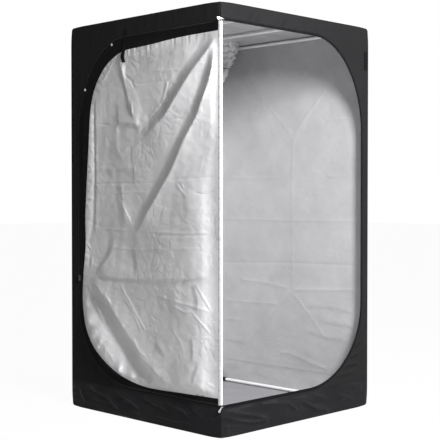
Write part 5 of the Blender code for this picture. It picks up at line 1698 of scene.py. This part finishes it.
@dataclass
class AirFittings:
    """The roof port with its crinkled sleeve and drawstring, and the low vent with its net and flap."""

    port_radius: float = 0.100
    length: float = 0.205
    tie_drop: float = 0.135
    tie_radius: float = 0.048
    mouth_radius: float = 0.018
    pleats: int = 9
    pleat_share: float = 0.13
    cloth: float = 0.0009
    net_pitch: float = 0.0040
    yarn: float = 0.00045

    def sleeve_radius(self, drop: Array) -> Array:
        """The sleeve's middle radius at a distance below the roof."""
        upper = np.interp(drop / self.tie_drop, (0.0, 0.24, 0.61, 1.0), (0.0, 0.07, 0.53, 1.0))
        top = self.port_radius + 0.0018
        lower = np.interp((drop - self.tie_drop) / (self.length - self.tie_drop), (0.0, 0.5, 1.0), (0.0, 0.45, 1.0))
        above = top + (self.tie_radius - top) * upper
        below = self.tie_radius + (self.mouth_radius - self.tie_radius) * lower
        return np.where(drop < self.tie_drop, above, below)

    def sleeve_reach(self, angle: Array, drop: Array) -> Array:
        """The sleeve's radius all round: pleats that deepen to the cord, rings and crinkles."""
        pleat = np.cos(self.pleats * angle + 0.5 * np.sin(2 * angle) + 1.2 * np.sin(angle + drop * 20))
        pleat = np.sign(pleat) * np.abs(pleat) ** 0.8
        radius = self.sleeve_radius(drop)
        crinkle = crumple(angle * 0.09, drop, 101, 0.040) * 0.0042 + crumple(angle * 0.09, drop, 102, 0.016) * 0.0016
        rings = 0.0035 * np.sin(2 * math.pi * drop / 0.030 + 1.5 * np.sin(3 * angle)) * smooth(drop, 0.01, 0.05)
        hold = smooth(drop, 0.0, 0.012) * (1 - 0.75 * np.exp(-(((drop - self.tie_drop) / 0.008) ** 2)))
        gathered = 1 + self.pleat_share * pleat * smooth(drop, 0.0, self.tie_drop)
        return radius * gathered + (crinkle + rings) * hold * np.clip(radius / 0.07, 0.25, 1.0)

    def sleeve(self) -> None:
        """The crinkled silver sleeve, gathered at its cord."""
        sides, rows = 216, 74
        angle, drop = np.meshgrid(np.linspace(0, 2 * math.pi, sides, endpoint=False),
                                  np.linspace(0.0, self.length, rows))
        reach = self.sleeve_reach(angle, drop)
        points = [np.stack([PORT[0] + r * np.cos(angle), PORT[1] + r * np.sin(angle), COVER_HEAD + 0.0008 - drop],
                           axis=-1).reshape(-1, 3) for r in (reach, reach - self.cloth)]
        shift, faces = sides * rows, []
        for row in range(rows - 1):
            for k in range(sides):
                a, b = row * sides + k, row * sides + (k + 1) % sides
                faces.append((a, a + sides, b + sides, b))
                faces.append((shift + b, shift + b + sides, shift + a + sides, shift + a))
        for k in range(sides):
            a, b = k, (k + 1) % sides
            faces.append((a, b, shift + b, shift + a))
            a, b = a + shift - sides, b + shift - sides
            faces.append((b, a, shift + a, shift + b))
        measure = np.stack([angle.ravel() * 0.09, -drop.ravel()], axis=1)
        # The sleeve takes the brighter copy of the silver film: painted light against the shade under the roof.
        piece = new_piece("duct_sleeve_cloth", np.vstack(points), faces, [Finish.SLEEVE_PAINTED_LIGHT_FILM], None,
                          np.vstack([measure, measure]), 60.0)
        settle(piece, "tent", "duct_sleeve")

    def collar(self) -> None:
        """The tape ring round the port, on the roof, with its two rows of stitches."""
        low, high = box_low_high("port_collar")
        outer, thick, ease = (high[0] - low[0]) / 2, high[2] - low[2], 0.0005
        profile = [(self.port_radius, 0.0), (outer, 0.0), (outer, thick - ease), (outer - ease, thick),
                   (self.port_radius + ease, thick), (self.port_radius, thick - ease)]
        piece = new_piece("port_collar_tape", *turned(profile, "Z", (*PORT, low[2]), 96), [Finish.TAPE])
        settle(piece, "tent", "port_collar")
        ring = np.linspace(0, 2 * math.pi, 160)
        for number, inset in enumerate((0.0025, 0.0095)):
            r = self.port_radius + inset
            path = np.stack([PORT[0] + r * np.cos(ring), PORT[1] + r * np.sin(ring),
                             np.full(160, high[2] + 0.0001)], axis=1)
            settle(STITCH.sew(f"port_collar_stitches_{number + 1}", path, UP), "tent")

    def net(self) -> None:
        """The vent's net: yarns crossing every 4 mm, drawn coarser than real so that they show."""
        low, high = box_low_high("vent_net")
        kinds = {"Width": "Float", "Height": "Float", "Yarn": "Float", "Columns": "Int", "Rows": "Int"}
        made = NodePiece("vent_net_yarns", bpy.data.meshes.new("vent_net_yarns"), kinds)
        grid = made.add("GeometryNodeMeshGrid", {k: made.start[label] for k, label in
                                                 enumerate(("Width", "Height", "Columns", "Rows"))})
        curves = made.add("GeometryNodeMeshToCurve", {0: grid})
        section = made.add("GeometryNodeCurvePrimitiveCircle", {"Resolution": 4, "Radius": made.start["Yarn"]})
        tubes = made.add("GeometryNodeCurveToMesh", {0: curves, 1: section})
        stand = made.add("GeometryNodeTransform", {0: tubes, "Rotation": (math.pi / 2, 0.0, 0.0),
                                                   "Translation": tuple((low + high) / 2)})
        width, height = float(high[0] - low[0]), float(high[2] - low[2])
        values = {"Width": width, "Height": height, "Yarn": self.yarn, "Columns": round(width / self.net_pitch) + 1,
                  "Rows": round(height / self.net_pitch) + 1}
        settle(made.realised(stand, Finish.NET, values), "tent", "vent_net")

    def flap(self) -> None:
        """The vent's flap, sewn along its head and loose below."""
        low, high = box_low_high("vent_flap")

        def place(a: Array, b: Array, out: Array) -> Array:
            return np.stack([a, HALF_WIDTH + out, b], axis=1)

        def depth(a: Array, b: Array) -> Array:
            loose = smooth(high[2] - b, 0.01, 0.18)
            return 0.0016 + loose * (0.0016 + 0.0012 * np.sin(a * 41 + 0.6) + 0.0006 * crumple(a, b, 111, 0.09))

        cut = SheetCut(box_of(low[::2], high[::2]), 0.008)
        piece = make_sheet("vent_flap_cloth", cut, place, depth, self.cloth)
        settle(piece, "vent_flap", "vent_flap")
        rows = np.linspace(low[0] + 0.004, high[0] - 0.004, 60)
        for number, inset in enumerate((0.004, 0.010)):
            path = place(rows, np.full(60, high[2] - inset), np.full(60, 0.0018))
            settle(STITCH.sew(f"vent_flap_stitches_{number + 1}", path, TO_BACK), "vent_flap")

    def build(self) -> None:
        """Makes the sleeve, the collar, the net and the flap, and dresses the cord and its lock."""
        self.sleeve()
        self.collar()
        self.net()
        self.flap()
        dress("sleeve_drawstring", Finish.CORD)
        dress("cord_lock", Finish.PLASTIC)
        log.info("air: sleeve, collar, net, flap, cord")


@dataclass
class CornerSeams:
    """The piping where the panels meet."""

    radius: float = 0.0013

    def run(self, name: str, start: Vec3, end: Vec3, count: int) -> None:
        """Pipes one edge of the cover's box between two points, in a number of steps."""
        path = soften(np.linspace(start, end, count))
        along = unit(np.gradient(path, axis=0))
        out = path - np.array([0.0, 0.0, HEIGHT / 2])
        out -= (out * along).sum(axis=1)[:, None] * along
        out = unit(out)
        settle(sweep(name, path, np.cross(along, out), out, round_profile(self.radius, 8)), "tent")

    def build(self) -> None:
        """Pipes the upright edges and the roof's edges."""
        half, top, short = HALF_WIDTH, HEIGHT, HALF_WIDTH - 0.006
        for name, x, y in (("front_right", half, -half), ("back_right", half, half), ("back_left", -half, half)):
            self.run(f"corner_piping_{name}", (x, y, 0.006), (x, y, top - 0.006), 200)
        for name, low, high in (("foot", 0.006, 0.134), ("head", 1.7265, top - 0.006)):
            self.run(f"corner_piping_front_left_{name}", (-half, -half, low), (-half, -half, high), 24)
        for name, start, end in (("front", (-short, -half, top), (short, -half, top)),
                                 ("back", (-short, half, top), (short, half, top)),
                                 ("left", (-half, -short, top), (-half, short, top)),
                                 ("right", (half, -short, top), (half, short, top))):
            self.run(f"roof_piping_{name}", start, end, 120)
        log.info("seams: corner and roof piping")


def main() -> None:
    """Builds the tent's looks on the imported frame."""
    logging.basicConfig(level=logging.INFO, format="%(name)s: %(message)s")
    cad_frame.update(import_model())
    for part in (Studio, Frame, CoverPanels, BaseTray, Zips, Door, AirFittings, CornerSeams):
        part().build()


if __name__ == "__main__":
    main()
